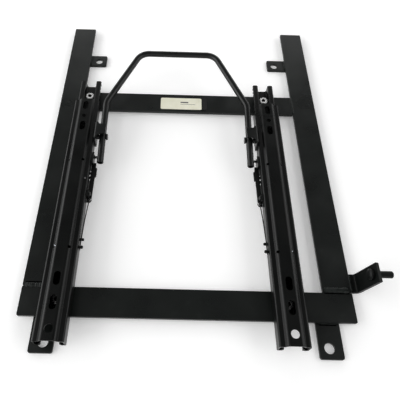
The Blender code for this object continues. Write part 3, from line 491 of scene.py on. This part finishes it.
def outlines_to_curve(tree, steps):
    """The seed's lines as curves, with each corner rounded by its own radius."""
    curve = tree.add("GeometryNodeMeshToCurve", {"Mesh": tree.base})
    corner = tree.add("GeometryNodeInputNamedAttribute", {"Name": "corner"}, data_type="FLOAT")
    return tree.add("GeometryNodeFilletCurve", {"Curve": curve, "Count": steps, "Radius": corner,
                                                "Limit Radius": True}, mode="POLY")


def closed_sheet(tree, face, **thickness):
    """Draws a surface out to a closed body."""
    drawn_out = tree.add("GeometryNodeExtrudeMesh", {"Mesh": face, "Individual": False, **thickness},
                         mode="FACES")
    back = tree.add("GeometryNodeFlipFaces", {"Mesh": face})
    both = tree.add("GeometryNodeJoinGeometry", {"Geometry": [drawn_out, back]})
    return tree.add("GeometryNodeMergeByDistance", {"Geometry": both, "Distance": MERGE})


def plate_tree():
    """Closed outlines, with the holes in them, filled and drawn out upwards."""
    tree = Tree("cut plate", Thickness=0.005, Level=0.0, Steps=8, Finish=None)
    curve = outlines_to_curve(tree, tree.value("Steps"))
    face = tree.add("GeometryNodeFillCurve", {"Curve": curve}, mode="NGONS")
    base = tree.add("ShaderNodeCombineXYZ", {"Z": tree.value("Level")})
    face = tree.add("GeometryNodeTransform", {"Geometry": face, "Translation": base})
    up = tree.add("ShaderNodeCombineXYZ", {"Z": tree.value("Thickness")})
    return tree.finish(closed_sheet(tree, face, **{"Offset": up}))


def sheet_tree():
    """A section line in X-Z, folded to its radii, drawn out along Y, thickened and punched."""
    tree = Tree("folded sheet", Length=0.1, Thickness=0.0018, Steps=6, Punches="", Finish=None)
    curve = outlines_to_curve(tree, tree.value("Steps"))
    line = tree.add("GeometryNodeCurveToMesh", {"Curve": curve})
    along = tree.add("ShaderNodeCombineXYZ", {"Y": tree.value("Length")})
    sheet = tree.add("GeometryNodeExtrudeMesh", {"Mesh": line, "Offset": along}, mode="EDGES")
    half = tree.math("MULTIPLY", tree.value("Thickness"), -0.5)
    normal = tree.add("GeometryNodeInputNormal")
    aside = tree.add("ShaderNodeVectorMath", {0: normal, "Scale": half}, operation="SCALE")
    sheet = tree.add("GeometryNodeSetPosition", {"Geometry": sheet, "Offset": aside})
    body = closed_sheet(tree, sheet, **{"Offset Scale": tree.value("Thickness")})
    punches = tree.add("GeometryNodeObjectInfo", {"Object": tree.value("Punches")}, output="Geometry")
    cut = tree.add("GeometryNodeMeshBoolean", {"Mesh 1": body, "Mesh 2": punches},
                   operation="DIFFERENCE", solver="EXACT")
    return tree.finish(cut)


def rod_tree():
    """A round bar along the seed's lines, bent to their corner radii, with closed ends."""
    tree = Tree("bent rod", Radius=0.005, Sides=32, Steps=14, Finish=None)
    curve = outlines_to_curve(tree, tree.value("Steps"))
    ring = tree.add("GeometryNodeCurvePrimitiveCircle", {"Resolution": tree.value("Sides"),
                                                         "Radius": tree.value("Radius")})
    rod = tree.add("GeometryNodeCurveToMesh", {"Curve": curve, "Profile Curve": ring, "Fill Caps": True})
    return tree.finish(rod)


def bead_tree():
    """A weld bead: a lumpy bar along the seed's lines, with a ripple for each step of the torch."""
    tree = Tree("weld bead", Radius=0.002, Pitch=0.0026, Ripple=0.10, Rough=0.5, Seed=0.0,
                Level=0.0, Flat=1.0, Finish=None)
    curve = outlines_to_curve(tree, 5)
    curve = tree.add("GeometryNodeResampleCurve", {"Curve": curve, "Length": BEAD_STEP}, mode="LENGTH")
    run = tree.add("GeometryNodeSplineParameter", output="Length")
    turns = tree.math("MULTIPLY", tree.math("DIVIDE", run, tree.value("Pitch")), 2 * math.pi)
    wave = tree.math("MULTIPLY", tree.math("SINE", turns), tree.value("Ripple"))
    lumps = tree.add("ShaderNodeTexNoise", {"W": tree.value("Seed"), "Scale": 260.0, "Detail": 2.0},
                     noise_dimensions="4D")
    swell = tree.math("MULTIPLY", tree.math("SUBTRACT", lumps, 0.5), tree.value("Rough"))
    scale = tree.math("ADD", tree.math("ADD", wave, swell), 1.0)
    share = tree.add("GeometryNodeSplineParameter", output="Factor")
    off = tree.math("ABSOLUTE", tree.math("SUBTRACT", tree.math("MULTIPLY", share, 2.0), 1.0))
    taper = tree.math("SQRT", tree.math("SUBTRACT", 1.05, tree.math("POWER", off, 12.0)))
    scale = tree.math("MULTIPLY", scale, taper)
    ring = tree.add("GeometryNodeCurvePrimitiveCircle", {"Resolution": 16, "Radius": tree.value("Radius")})
    bead = tree.add("GeometryNodeCurveToMesh", {"Curve": curve, "Profile Curve": ring, "Scale": scale,
                                                "Fill Caps": True})
    fine = tree.add("ShaderNodeTexNoise", {"W": tree.value("Seed"), "Scale": 900.0, "Detail": 2.0},
                    noise_dimensions="4D")
    reach = tree.math("MULTIPLY", tree.value("Radius"), 0.5)
    push = tree.math("MULTIPLY", tree.math("SUBTRACT", fine, 0.5), reach)
    normal = tree.add("GeometryNodeInputNormal")
    offset = tree.add("ShaderNodeVectorMath", {0: normal, "Scale": push}, operation="SCALE")
    bead = tree.add("GeometryNodeSetPosition", {"Geometry": bead, "Offset": offset})
    apart = tree.add("ShaderNodeSeparateXYZ", {0: tree.add("GeometryNodeInputPosition")}).node.outputs
    above = tree.math("SUBTRACT", apart["Z"], tree.value("Level"))
    low = tree.math("ADD", tree.value("Level"), tree.math("MULTIPLY", above, tree.value("Flat")))
    pressed = tree.add("ShaderNodeCombineXYZ", {"X": apart["X"], "Y": apart["Y"], "Z": low})
    bead = tree.add("GeometryNodeSetPosition", {"Geometry": bead, "Position": pressed})
    return tree.finish(bead)


def row_tree():
    """A row of equal blocks, as a cutter for notches."""
    tree = Tree("row of blocks", Count=26, Start=(0.0, 0.0, 0.0), Step=(0.0, 0.0075, 0.0),
                Size=(0.004, 0.004, 0.004), Finish=None)
    line = tree.add("GeometryNodeMeshLine", {"Count": tree.value("Count"), "Offset": tree.value("Step"),
                                             "Start Location": tree.value("Start")})
    block = tree.add("GeometryNodeMeshCube", {"Size": tree.value("Size")})
    row = tree.add("GeometryNodeInstanceOnPoints", {"Points": line, "Instance": block})
    return tree.finish(row, smooth=False)


def screw_tree():
    """Socket head cap screws standing on the seed's points."""
    tree = Tree("cap screws", Head=0.0065, Height=0.008, Shank=0.004, Reach=0.006, Socket=0.0034,
                Depth=0.005, Finish=None, Inside=None)
    height, reach = tree.value("Height"), tree.value("Reach")

    def bar(sides, radius, length, middle):
        body = tree.add("GeometryNodeMeshCylinder", {"Vertices": sides, "Radius": radius, "Depth": length})
        spot = tree.add("ShaderNodeCombineXYZ", {"Z": middle})
        return tree.add("GeometryNodeTransform", {"Geometry": body, "Translation": spot})

    head = bar(64, tree.value("Head"), height, tree.math("MULTIPLY", height, 0.5))
    shank = bar(32, tree.value("Shank"), tree.math("ADD", reach, 0.001),
                tree.math("MULTIPLY", tree.math("SUBTRACT", 0.001, reach), 0.5))
    whole = tree.add("GeometryNodeMeshBoolean", {"Mesh 2": [head, shank]},
                     operation="UNION", solver="EXACT")
    socket = bar(6, tree.value("Socket"), tree.math("MULTIPLY", tree.value("Depth"), 2.0), height)
    cut = tree.add("GeometryNodeMeshBoolean", {"Mesh 1": whole, "Mesh 2": socket},
                   operation="DIFFERENCE", solver="EXACT")
    plain = tree.add("GeometryNodeSetMaterial", {"Geometry": cut, "Material": tree.value("Finish")})
    # The socket's inside, found by its place, gets the Inside material: painted shade in the recess
    place = tree.add("GeometryNodeInputPosition")
    apart = tree.add("ShaderNodeSeparateXYZ", {0: place})
    level = apart.node.outputs["Z"]
    flat = tree.add("ShaderNodeVectorMath", {0: place, 1: (1.0, 1.0, 0.0)}, operation="MULTIPLY")
    away = tree.add("ShaderNodeVectorMath", {0: flat}, output="Value", operation="LENGTH")
    inner = tree.math("LESS_THAN", away, tree.math("MULTIPLY", tree.value("Head"), 0.6))
    low = tree.math("LESS_THAN", level, tree.math("MULTIPLY", height, 0.97))
    within = tree.math("MULTIPLY", inner, low)
    dark = tree.add("GeometryNodeSetMaterial", {"Geometry": plain, "Selection": within,
                                                "Material": tree.value("Inside")})
    screws = tree.add("GeometryNodeInstanceOnPoints", {"Points": tree.base, "Instance": dark})
    return tree.finish(screws, paint=False)


def ball_tree():
    """Balls on the seed's points."""
    tree = Tree("balls", Radius=0.002, Finish=None)
    ball = tree.add("GeometryNodeMeshUVSphere", {"Segments": 40, "Rings": 24,
                                                 "Radius": tree.value("Radius")})
    row = tree.add("GeometryNodeInstanceOnPoints", {"Points": tree.base, "Instance": ball})
    return tree.finish(row)


PLATE = plate_tree()
FOLDED = sheet_tree()
ROD = rod_tree()
BEAD = bead_tree()
ROW = row_tree()
SCREWS = screw_tree()
BALLS = ball_tree()


def points_mesh(points):
    mesh = bpy.data.meshes.new("points")
    mesh.from_pydata([tuple(point) for point in points], [], [])
    return mesh


def gather(name, pieces):
    """One object from several, for a set of punches."""
    shape = bmesh.new()
    for piece in pieces:
        shape.from_mesh(piece.data)
        drop(piece)
    mesh = bpy.data.meshes.new(name)
    shape.to_mesh(mesh)
    shape.free()
    whole = bpy.data.objects.new(name, mesh)
    bpy.context.scene.collection.objects.link(whole)
    return whole


def drop(piece):
    mesh = piece.data
    bpy.data.objects.remove(piece, do_unlink=True)
    bpy.data.meshes.remove(mesh)


def rig_loops(loops):
    """Outlines measured from the rig's own zero, brought to the part's origin."""
    return [([tuple(rig(*point)) for point in points], corners, closed)
            for points, corners, closed in loops]


# Frame of flat bars


def cut_plate(name, loops, level, thickness, finish, edge=EDGE_ROUND, slot="black_frame", node=None):
    """A flat piece of the frame, which stands for the node of its own name unless another is given."""
    piece = grow(name, PLATE, drawn(rig_loops(loops)), [rounded_edges(edge)], Level=level,
                 Thickness=thickness, Finish=finish)
    return put_on(piece, "frame", slot, node or name)


def make_bars():
    for side, turn in SIDES.items():
        low, high = LEFT_BAR if side == "left" else RIGHT_BAR
        middle = (low + high) / 2 + MIDDLE
        loop = box_loop(middle.x, middle.y, high.x - low.x, high.y - low.y, BAR_CORNER)
        cut_plate("side_bar_" + side, [loop], BAR_BASE_Z, BAR_TOP_Z - BAR_BASE_Z, BAR_BLACK)
    for name, box, screw_y in (("front", FRONT_BAR, SCREW_Y[0]), ("rear", REAR_BAR, SCREW_Y[1])):
        low, high = box
        middle = (low + high) / 2 + MIDDLE
        loops = [box_loop(middle.x, middle.y, high.x - low.x, high.y - low.y, BAR_CORNER)]
        loops += [round_loop(side_x(turn, RAIL_HALF_PITCH), screw_y, SCREW_SHANK + SEAM)
                  for turn in SIDES.values()]
        cut_plate("cross_bar_" + name, loops, BAR_BASE_Z, BAR_TOP_Z - BAR_BASE_Z, BAR_BLACK)


def make_tabs():
    for name, (x, y, radius) in TAB_HOLES.items():
        low, high = node_box(name)
        middle = (low + high) / 2 + MIDDLE
        loops = [box_loop(middle.x, middle.y, high.x - low.x, high.y - low.y, TAB_CORNER),
                 round_loop(x, y, radius)]
        cut_plate(name, loops, 0.0, TAB_THICK, BAR_BLACK)


def make_label():
    """Clear film with an ivory print on it, and two plain lines in place of words."""
    low, high = node_box("label")
    middle = (low + high) / 2 + MIDDLE
    start = low.x + MIDDLE.x + PRINT_MARGIN
    film = box_loop(middle.x, middle.y, high.x - low.x, high.y - low.y, FILM_CORNER)
    paper = box_loop(start + PRINT_WIDE / 2, middle.y - PRINT_DROP, PRINT_WIDE, PRINT_DEEP, PRINT_CORNER)
    inks = [box_loop(start + INK_START + length / 2, middle.y + up, length, width, INK_CORNER)
            for length, width, up in INK_LINES]
    level = low.z
    for name, loops, thick, finish, edge in (
            ("label_film", [film], FILM_THICK, LABEL_FILM, FILM_EDGE),
            ("label_print", [paper], PRINT_THICK, LABEL_IVORY, PRINT_EDGE),
            ("label_lines", inks, INK_THICK, LABEL_INK, INK_EDGE)):
        cut_plate(name, loops, level, thick, finish, edge, "label_film", "label")
        level += thick


def make_screws():
    seat = FLOOR_Z + SHEET / 2 + SEAM
    spots = [rig(side_x(turn, RAIL_HALF_PITCH), y, seat) for y in SCREW_Y for turn in SIDES.values()]
    names = ["rail_screw_%s_%s" % (end, side) for end in ("front", "rear") for side in SIDES]
    piece = grow("rail_screws", SCREWS, points_mesh(spots), [rounded_edges(SCREW_EDGE_ROUND, 4)],
                 Head=SCREW_HEAD, Height=SCREW_HEIGHT, Shank=SCREW_SHANK, Reach=seat - BAR_BASE_Z - SEAM,
                 Socket=SOCKET_RADIUS, Depth=SOCKET_DEPTH, Finish=ZINC, Inside=SOCKET_DARK)
    put_on(piece, "frame", "zinc", *names)


# Sliders


def folded_rail(name, half, folds, side, ends_y, punches):
    """A rail from half of its section, with a radius for each fold, between two places along Y."""
    middle = side_x(SIDES[side], RAIL_HALF_PITCH)
    section = [(-x, z) for x, z in reversed(half)] + half
    points = [tuple(rig(middle + x, ends_y[0], FLOOR_Z + z)) for x, z in section]
    seed = drawn([(points, folds[::-1] + folds, False)])
    piece = grow(name, FOLDED, seed, [rounded_edges(RAIL_EDGE_ROUND, 2, RAIL_EDGE_ANGLE)],
                 Length=ends_y[1] - ends_y[0], Thickness=SHEET, Punches=punches, Finish=RAIL_BLACK)
    drop(punches)
    return piece


def make_lower_rail(side):
    """The rail on the cross bars: a channel with a hook along each side, the inner one notched."""
    turn = SIDES[side]
    half = [(LOWER_WALL, 0), (LOWER_WALL, LOWER_RISE), (LOWER_HOOK, LOWER_RISE),
            (LOWER_HOOK, LOWER_RISE - HOOK_DROP)]
    middle = side_x(turn, RAIL_HALF_PITCH)
    hook_end = FLOOR_Z + LOWER_RISE - HOOK_DROP
    notches = grow("notches", ROW, Count=NOTCH_COUNT, Step=(0.0, -NOTCH_PITCH, 0.0),
                   Start=tuple(rig(middle - turn * LOWER_HOOK, NOTCH_LAST_Y, hook_end)),
                   Size=(NOTCH_REACH, NOTCH_WIDTH, 2 * NOTCH_DEPTH))
    loops = [round_loop(middle, y, SCREW_SHANK + SEAM) for y in SCREW_Y]
    loops.append(box_loop(middle, LOWER_Y[1], FLOOR_CUT_WIDE, FLOOR_CUT_DEEP, FLOOR_CUT_CORNER))
    holes = grow("holes", PLATE, drawn(rig_loops(loops)), Level=FLOOR_Z - PUNCH_REACH / 2,
                 Thickness=PUNCH_REACH)
    punches = gather("lower_punches", [notches, holes])
    folds = [FOLD] * 3 + [0.0]
    piece = folded_rail("lower_rail_" + side, half, folds, side, LOWER_Y, punches)
    put_on(piece, "frame", "black_frame", "lower_rail_" + side)


def upper_punches(side):
    """What is cut from an upper rail: slots, holes, dimples and the latch's window."""
    turn = SIDES[side]
    middle = side_x(turn, RAIL_HALF_PITCH)
    level = FLOOR_Z + WEB_RISE - WEB_PUNCH_REACH / 2
    loops = [box_loop(middle, y, wide, length, wide / 2 * FULL_CORNER) for y, length, wide in SLOTS]
    loops += [round_loop(middle, y, across / 2) for y, across in ROUND_HOLES]
    loops += [round_loop(middle - turn * SMALL_HOLE_X, y, SMALL_HOLE / 2) for y in DIMPLE_Y]
    holes = grow("holes", PLATE, drawn(rig_loops(loops)), Level=level, Thickness=WEB_PUNCH_REACH)
    spots = slope_spots(side, SHEET / 2 + DIMPLE_RADIUS - DIMPLE_DEPTH, DIMPLE_Y)
    dimples = grow("dimples", BALLS, points_mesh(spots), Radius=DIMPLE_RADIUS)
    base = FLOOR_Z - WINDOW_BELOW
    window = box_loop(middle - turn * UPPER_WALL, (WINDOW_Y[0] + WINDOW_Y[1]) / 2, WINDOW_WIDE,
                      WINDOW_Y[1] - WINDOW_Y[0], WINDOW_CORNER)
    cut = grow("window", PLATE, drawn(rig_loops([window])), Level=base, Thickness=WINDOW_TOP_Z - base)
    return gather("upper_punches", [holes, dimples, cut])


def make_upper_rail(side):
    """The rail that wraps the lower one: raised web, shoulders, and walls with lips turned up inside."""
    half = [(UPPER_WEB, WEB_RISE), (UPPER_STEP, SHOULDER_RISE), (UPPER_WALL, SHOULDER_RISE),
            (UPPER_WALL, LIP_RISE), (UPPER_LIP, LIP_RISE), (UPPER_LIP, LIP_RISE + LIP_HEIGHT)]
    punches = upper_punches(side)
    folds = [WEB_FOLD] + [FOLD] * 4 + [0.0]
    piece = folded_rail("upper_rail_" + side, half, folds, side, UPPER_Y, punches)
    put_on(piece, "upper_" + side, "black_slider", "upper_rail_" + side)


def make_balls(side):
    names = ["ball_%s_%s_%d" % (side, row, k) for row in ("inner", "outer") for k in (1, 2)]
    spots = []
    for name in names:
        low, high = node_box(name)
        spots.append((low + high) / 2)
    piece = grow("ball_set_" + side, BALLS, points_mesh(spots), Radius=BALL_RADIUS, Finish=BALL_STEEL)
    put_on(piece, "ball_train_" + side, "ball_steel", *names)


# Handle


def handle_level(y):
    """The handle's height, which rises forward from its pivot."""
    return PIVOT_Z + (y - PIVOT_Y) * HANDLE_SLOPE


def make_handle():
    """One round bar: up from the left rail's side, across the grip and down to the right one."""
    half = [(GRIP_HALF, GRIP_Y, GRIP_BEND), (ROD_OFFSET, KNEE_Y, KNEE_BEND), (ROD_OFFSET, ROD_END_Y, 0.0)]
    corners = [(-x, y, bend) for x, y, bend in reversed(half)] + half
    points = [tuple(rig(PAIR_X + x, y, handle_level(y))) for x, y, bend in corners]
    seed = drawn([(points, [bend for x, y, bend in corners], False)])
    bores = []
    for turn in SIDES.values():
        ends = [tuple(rig(side_x(turn, ROD_OFFSET), y, handle_level(y)))
                for y in (ROD_END_Y - BORE_OUT, ROD_END_Y + BORE_DEPTH)]
        bores.append((ends, 0.0, False))
    cutter = grow("bores", ROD, drawn(bores), Radius=BORE_RADIUS, Sides=24)
    piece = grow("handle", ROD, seed, [less(cutter), rounded_edges(EDGE_ROUND, 3, 50)],
                 Radius=ROD_RADIUS, Sides=40, Finish=HANDLE_BLACK)
    drop(cutter)
    put_on(piece, "handle", "black_handle", "handle_bar")


def less(cutter):
    def step(holder):
        cut = holder.modifiers.new("bore", "BOOLEAN")
        cut.operation = "DIFFERENCE"
        cut.solver = "EXACT"
        cut.object = cutter
    return step


# Small pressed pieces, dressed from their nodes


def dressed(name, finish, body, slot, width):
    """The node's own shape with its loose triangles joined, its edges rounded and shaded."""
    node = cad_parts[name]
    shape = bmesh.new()
    shape.from_mesh(node.data)
    shape.transform(node.matrix_world)
    bmesh.ops.remove_doubles(shape, verts=shape.verts, dist=MERGE)
    bmesh.ops.recalc_face_normals(shape, faces=shape.faces)
    bmesh.ops.dissolve_limit(shape, angle_limit=math.radians(1.0), verts=shape.verts, edges=shape.edges)
    for face in shape.faces:
        face.smooth = True
    mesh = bpy.data.meshes.new(name + "_dressed")
    shape.to_mesh(mesh)
    shape.free()
    mesh.materials.append(finish)
    holder = bpy.data.objects.new(name + "_seed", mesh)
    bpy.context.scene.collection.objects.link(holder)
    rounded_edges(width)(holder)
    bpy.context.view_layer.update()
    result = bpy.data.meshes.new_from_object(holder.evaluated_get(bpy.context.evaluated_depsgraph_get()))
    drop(holder)
    piece = bpy.data.objects.new(name + "_dressed", result)
    bpy.context.scene.collection.objects.link(piece)
    return put_on(piece, body, slot, name)


def make_small_pieces():
    """The bracket, the stud, the holders, the latches, the pins, the rivets and the posts."""
    dressed("buckle_bracket", BRACKET_BLACK, "frame", "black_frame", EDGE_ROUND)
    dressed("buckle_stud", STUD_BLACK, "frame", "zinc", 0.0003)
    dressed("shoulder_rivet", RIVET_STEEL, "upper_left", "zinc", 0.00012)
    for side in SIDES:
        dressed("handle_holder_" + side, LATCH_BLACK, "upper_" + side, "black_slider", 0.0004)
        dressed("latch_plate_" + side, LATCH_BLACK, "latch_" + side, "black_slider", 0.0004)
        dressed("latch_rivet_" + side, LATCH_BLACK, "upper_" + side, "black_slider", 0.0002)
        dressed("handle_pin_" + side, LATCH_BLACK, "upper_" + side, "zinc", 0.0003)
        dressed("handle_spacer_" + side, LATCH_BLACK, "upper_" + side, "black_slider", 0.0002)
        dressed("link_pin_" + side, LATCH_BLACK, "handle", "black_slider", 0.0002)
        for end in ("front", "rear"):
            dressed("spring_post_%s_%s" % (side, end), POST_DARK, "upper_" + side, "zinc", 0.0002)


# Weld beads


def bead(name, paths, radius, seed, finish=WELD_BLACK, **values):
    """Beads along straight lines measured from the rig's zero."""
    loops = [([tuple(rig(*point)) for point in path], 0.0, False) for path in paths]
    piece = grow(name, BEAD, drawn(loops), Radius=radius, Seed=seed, Finish=finish, **values)
    return put_on(piece, "frame", "black_frame")


def across(y, start, end, z):
    """A line from left to right."""
    return [(start, y, z), (end, y, z)]


def along(x, start, end, z):
    """A line from the rear forward."""
    return [(x, start, z), (x, end, z)]


def make_welds():
    """Beads where the bars meet, at the tabs' roots and at the bracket's root, and dark strips of painted
    shade in the seams beside the rear joints' beads and behind the rear tabs' roots.
    """
    top = BAR_TOP_Z
    inner = HALF_FRAME - BAR_WIDTH
    joint = REAR_BAR[1].y + MIDDLE.y + SEAM / 2
    rear, front, roots, seam_shades = [], [], [], []
    # The left bead lies over the joint with its strip of painted shade in front, the right one has it
    # behind
    for turn, bead_y, seam_shade_y in ((-1, joint + LEFT_BEAD_FORWARD, joint + LEFT_SEAM_SHADE_FORWARD),
                                     (1, joint + JOINT_BEAD, joint - SEAM_SHADE)):
        start, end = turn * (inner + JOINT_STOP_INNER), turn * (HALF_FRAME - JOINT_STOP_OUTER)
        rear.append(across(bead_y, start, end, top))
        seam_shades.append(across(seam_shade_y, start, end, top))
        low, high = FRONT_BAR[0].y + MIDDLE.y, FRONT_BAR[1].y + MIDDLE.y
        front.append(along(turn * inner, low + BEAD_STOP, high - BEAD_STOP, top))
    for side, turn in SIDES.items():
        low, high = node_box("front_tab_" + side)
        start, end = low.y + MIDDLE.y + FRONT_TAB_STOP, high.y + MIDDLE.y - FRONT_TAB_STOP
        roots.append(along(turn * inner, start, end, TAB_THICK + FRONT_ROOT_RISE))
    for side in SIDES:
        low, high = node_box("rear_tab_" + side)
        start, end = low.x + MIDDLE.x + REAR_TAB_STOP, high.x + MIDDLE.x - REAR_TAB_STOP
        roots.append(across(0.0, start, end, TAB_THICK + REAR_ROOT_RISE))
        # A strip of painted shade in the seam behind each rear tab's root bead
        seam_shades.append(across(-ROOT_BEAD - SEAM_SHADE / 2, start, end, TAB_THICK + REAR_ROOT_RISE))
    low, high = node_box("buckle_bracket")
    start, end = low.y + MIDDLE.y + BEAD_STOP, high.y + MIDDLE.y - BEAD_STOP
    roots.append(along(HALF_FRAME + SEAM / 2, start, end, top - BRACKET_ROOT_DROP))
    bead("rear_joint_welds", rear, JOINT_BEAD, 3.1, Rough=1.6, Level=top, Flat=0.42)
    # Dark strips of painted shade along the seams
    bead("rear_joint_undercuts", seam_shades, SEAM_SHADE, 9.3, SEAM_SHADE_BLACK, Rough=0.5)
    bead("front_joint_welds", front, FRONT_BEAD, 7.4, Rough=0.8, Level=top, Flat=0.35)
    bead("root_welds", roots, ROOT_BEAD, 5.2, Rough=0.8)


# Camera, light and floor


# Fitted to the photograph: turn in degrees, place from the rig's zero, focal length and centre in pixels
CAMERA_PITCH, CAMERA_YAW, CAMERA_ROLL = 57.0, 0.80, 2.17
CAMERA_PLACE = (-0.02455, -0.15189, 0.57164)
PHOTO_SIDE, PHOTO_FOCAL, PHOTO_CENTRE = 400.0, 445.59, (174.9, 175.3)
SENSOR_WIDTH = 36.0


def make_camera():
    """The photograph's view: down from behind, with a little roll, off centre."""
    pitch, yaw, roll = (math.radians(angle) for angle in (CAMERA_PITCH, CAMERA_YAW, CAMERA_ROLL))
    ahead = Vector((math.sin(yaw) * math.cos(pitch), math.cos(yaw) * math.cos(pitch), -math.sin(pitch)))
    level = ahead.cross(Vector((0, 0, 1))).normalized()
    top = level.cross(ahead)
    right = math.cos(roll) * level + math.sin(roll) * top
    up = -math.sin(roll) * level + math.cos(roll) * top
    data = bpy.data.cameras.new("view")
    data.sensor_width = SENSOR_WIDTH
    data.lens = PHOTO_FOCAL * SENSOR_WIDTH / PHOTO_SIDE
    data.shift_x = (PHOTO_SIDE / 2 - PHOTO_CENTRE[0]) / PHOTO_SIDE
    data.shift_y = (PHOTO_CENTRE[1] - PHOTO_SIDE / 2) / PHOTO_SIDE
    data.clip_start = 0.01
    camera = bpy.data.objects.new("view", data)
    turn = Matrix((right, up, -ahead)).transposed()
    camera.matrix_world = Matrix.Translation(rig(*CAMERA_PLACE)) @ turn.to_4x4()
    bpy.context.scene.collection.objects.link(camera)
    bpy.context.scene.camera = camera


def soft_box(name, place, width, height, power):
    """A rectangular lamp that faces the object."""
    data = bpy.data.lights.new(name, "AREA")
    data.shape = "RECTANGLE"
    data.size = width
    data.size_y = height
    data.energy = power
    lamp = bpy.data.objects.new(name, data)
    lamp.location = place
    lamp.rotation_euler = (-Vector(place)).to_track_quat("-Z", "Y").to_euler()
    bpy.context.scene.collection.objects.link(lamp)


# The surround's strength low down and overhead, and the heights between which it fades
HORIZON_STRENGTH, OVERHEAD_STRENGTH = 1.0, 0.22
FADE_FROM, FADE_TO = 0.28, 0.66


def make_light():
    """A surround that is white at the horizon and dim overhead, and four soft boxes."""
    bpy.context.scene.view_settings.view_transform = "Standard"
    world = bpy.data.worlds.new("studio")
    bpy.context.scene.world = world
    world.use_nodes = True
    nodes, links = world.node_tree.nodes, world.node_tree.links
    back = nodes["Background"]
    back.inputs["Color"].default_value = (1, 1, 1, 1)
    around = nodes.new("ShaderNodeTexCoord")
    height = nodes.new("ShaderNodeSeparateXYZ")
    strength = nodes.new("ShaderNodeMapRange")
    strength.interpolation_type = "SMOOTHSTEP"
    for socket, value in (("From Min", FADE_FROM), ("From Max", FADE_TO),
                          ("To Min", HORIZON_STRENGTH), ("To Max", OVERHEAD_STRENGTH)):
        strength.inputs[socket].default_value = value
    links.new(around.outputs["Generated"], height.inputs[0])
    links.new(height.outputs["Z"], strength.inputs["Value"])
    links.new(strength.outputs[0], back.inputs["Strength"])
    soft_box("left_low", (-3.4, -0.2, 1.35), width=6.0, height=2.5, power=115.0)
    soft_box("left_top", (-2.0, -1.0, 2.6), width=3.0, height=3.0, power=24.0)
    soft_box("right_high", (3.1, 0.0, 2.4), width=4.0, height=2.0, power=46.0)
    soft_box("front_low", (0.0, 3.4, 1.3), width=3.6, height=1.6, power=30.0)


FLOOR_REACH = 6.0
# The white that the floor adds for the eye and in gleams: near the object, and at the floor's edge
FLOOR_GLOW_NEAR, FLOOR_GLOW_FAR, GLOW_START = 0.18, 1.0, 0.8


def make_floor():
    """A plain white floor that keeps the object's shadow."""
    mesh = bpy.data.meshes.new("floor")
    corners = [(x * FLOOR_REACH, y * FLOOR_REACH, 0) for x, y in ((-1, -1), (1, -1), (1, 1), (-1, 1))]
    mesh.from_pydata(corners, [], [(0, 1, 2, 3)])
    floor = bpy.data.objects.new("floor", mesh)
    bpy.context.scene.collection.objects.link(floor)
    paint = Paint("floor_white")
    slow = paint.noise(3.0, 2.0)
    paint.wire(paint.blend(slow, (0.955, 0.955, 0.955, 1), (0.965, 0.965, 0.963, 1)), "Base Color")
    paint.shader.inputs["Roughness"].default_value = 0.9
    paint.shader.inputs["Specular IOR Level"].default_value = 0.0
    rays = paint.add("ShaderNodeLightPath").node.outputs
    seen = paint.math("MAXIMUM", rays["Is Camera Ray"], rays["Is Glossy Ray"])
    seen = paint.math("MAXIMUM", seen, rays["Is Transmission Ray"])
    paint.shader.inputs["Emission Color"].default_value = (1, 1, 1, 1)
    away = paint.add("ShaderNodeVectorMath", {0: paint.place}, output="Value", operation="LENGTH")
    glow = paint.spread(away, FLOOR_GLOW_NEAR, FLOOR_GLOW_FAR, GLOW_START, FLOOR_REACH)
    paint.wire(paint.math("MULTIPLY", seen, glow), "Emission Strength")
    mesh.materials.append(paint.material)


# Finishes for the nodes that keep their CAD shape


def paint_nodes():
    """Each node in its finish, also where a piece stands in for it."""
    finishes = {
        "side_bar": BAR_BLACK, "cross_bar": BAR_BLACK, "front_tab": BAR_BLACK, "rear_tab": BAR_BLACK,
        "buckle_bracket": BRACKET_BLACK, "buckle_stud": STUD_BLACK, "handle_spacer": LATCH_BLACK,
        "lower_rail": RAIL_BLACK, "upper_rail": RAIL_BLACK, "handle_holder": LATCH_BLACK,
        "latch_plate": LATCH_BLACK, "latch_rivet": LATCH_BLACK, "link_pin": LATCH_BLACK,
        "handle_bar": HANDLE_BLACK, "rail_screw": ZINC, "handle_pin": LATCH_BLACK,
        "shoulder_rivet": RIVET_STEEL, "spring_post": POST_DARK, "spring_wire": WIRE_STEEL,
        "ball_cage": CAGE_STEEL, "ball_": BALL_STEEL, "glide_strip": GLIDE_NYLON, "label": LABEL_IVORY,
    }
    for name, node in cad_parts.items():
        finish = next(paint for start, paint in finishes.items() if name.startswith(start))
        node.data.materials.clear()
        node.data.materials.append(finish)


make_camera()
make_light()
make_floor()
paint_nodes()
make_bars()
make_tabs()
make_label()
make_screws()
make_handle()
make_small_pieces()
make_welds()
for side in SIDES:
    make_lower_rail(side)
    make_upper_rail(side)
    make_balls(side)
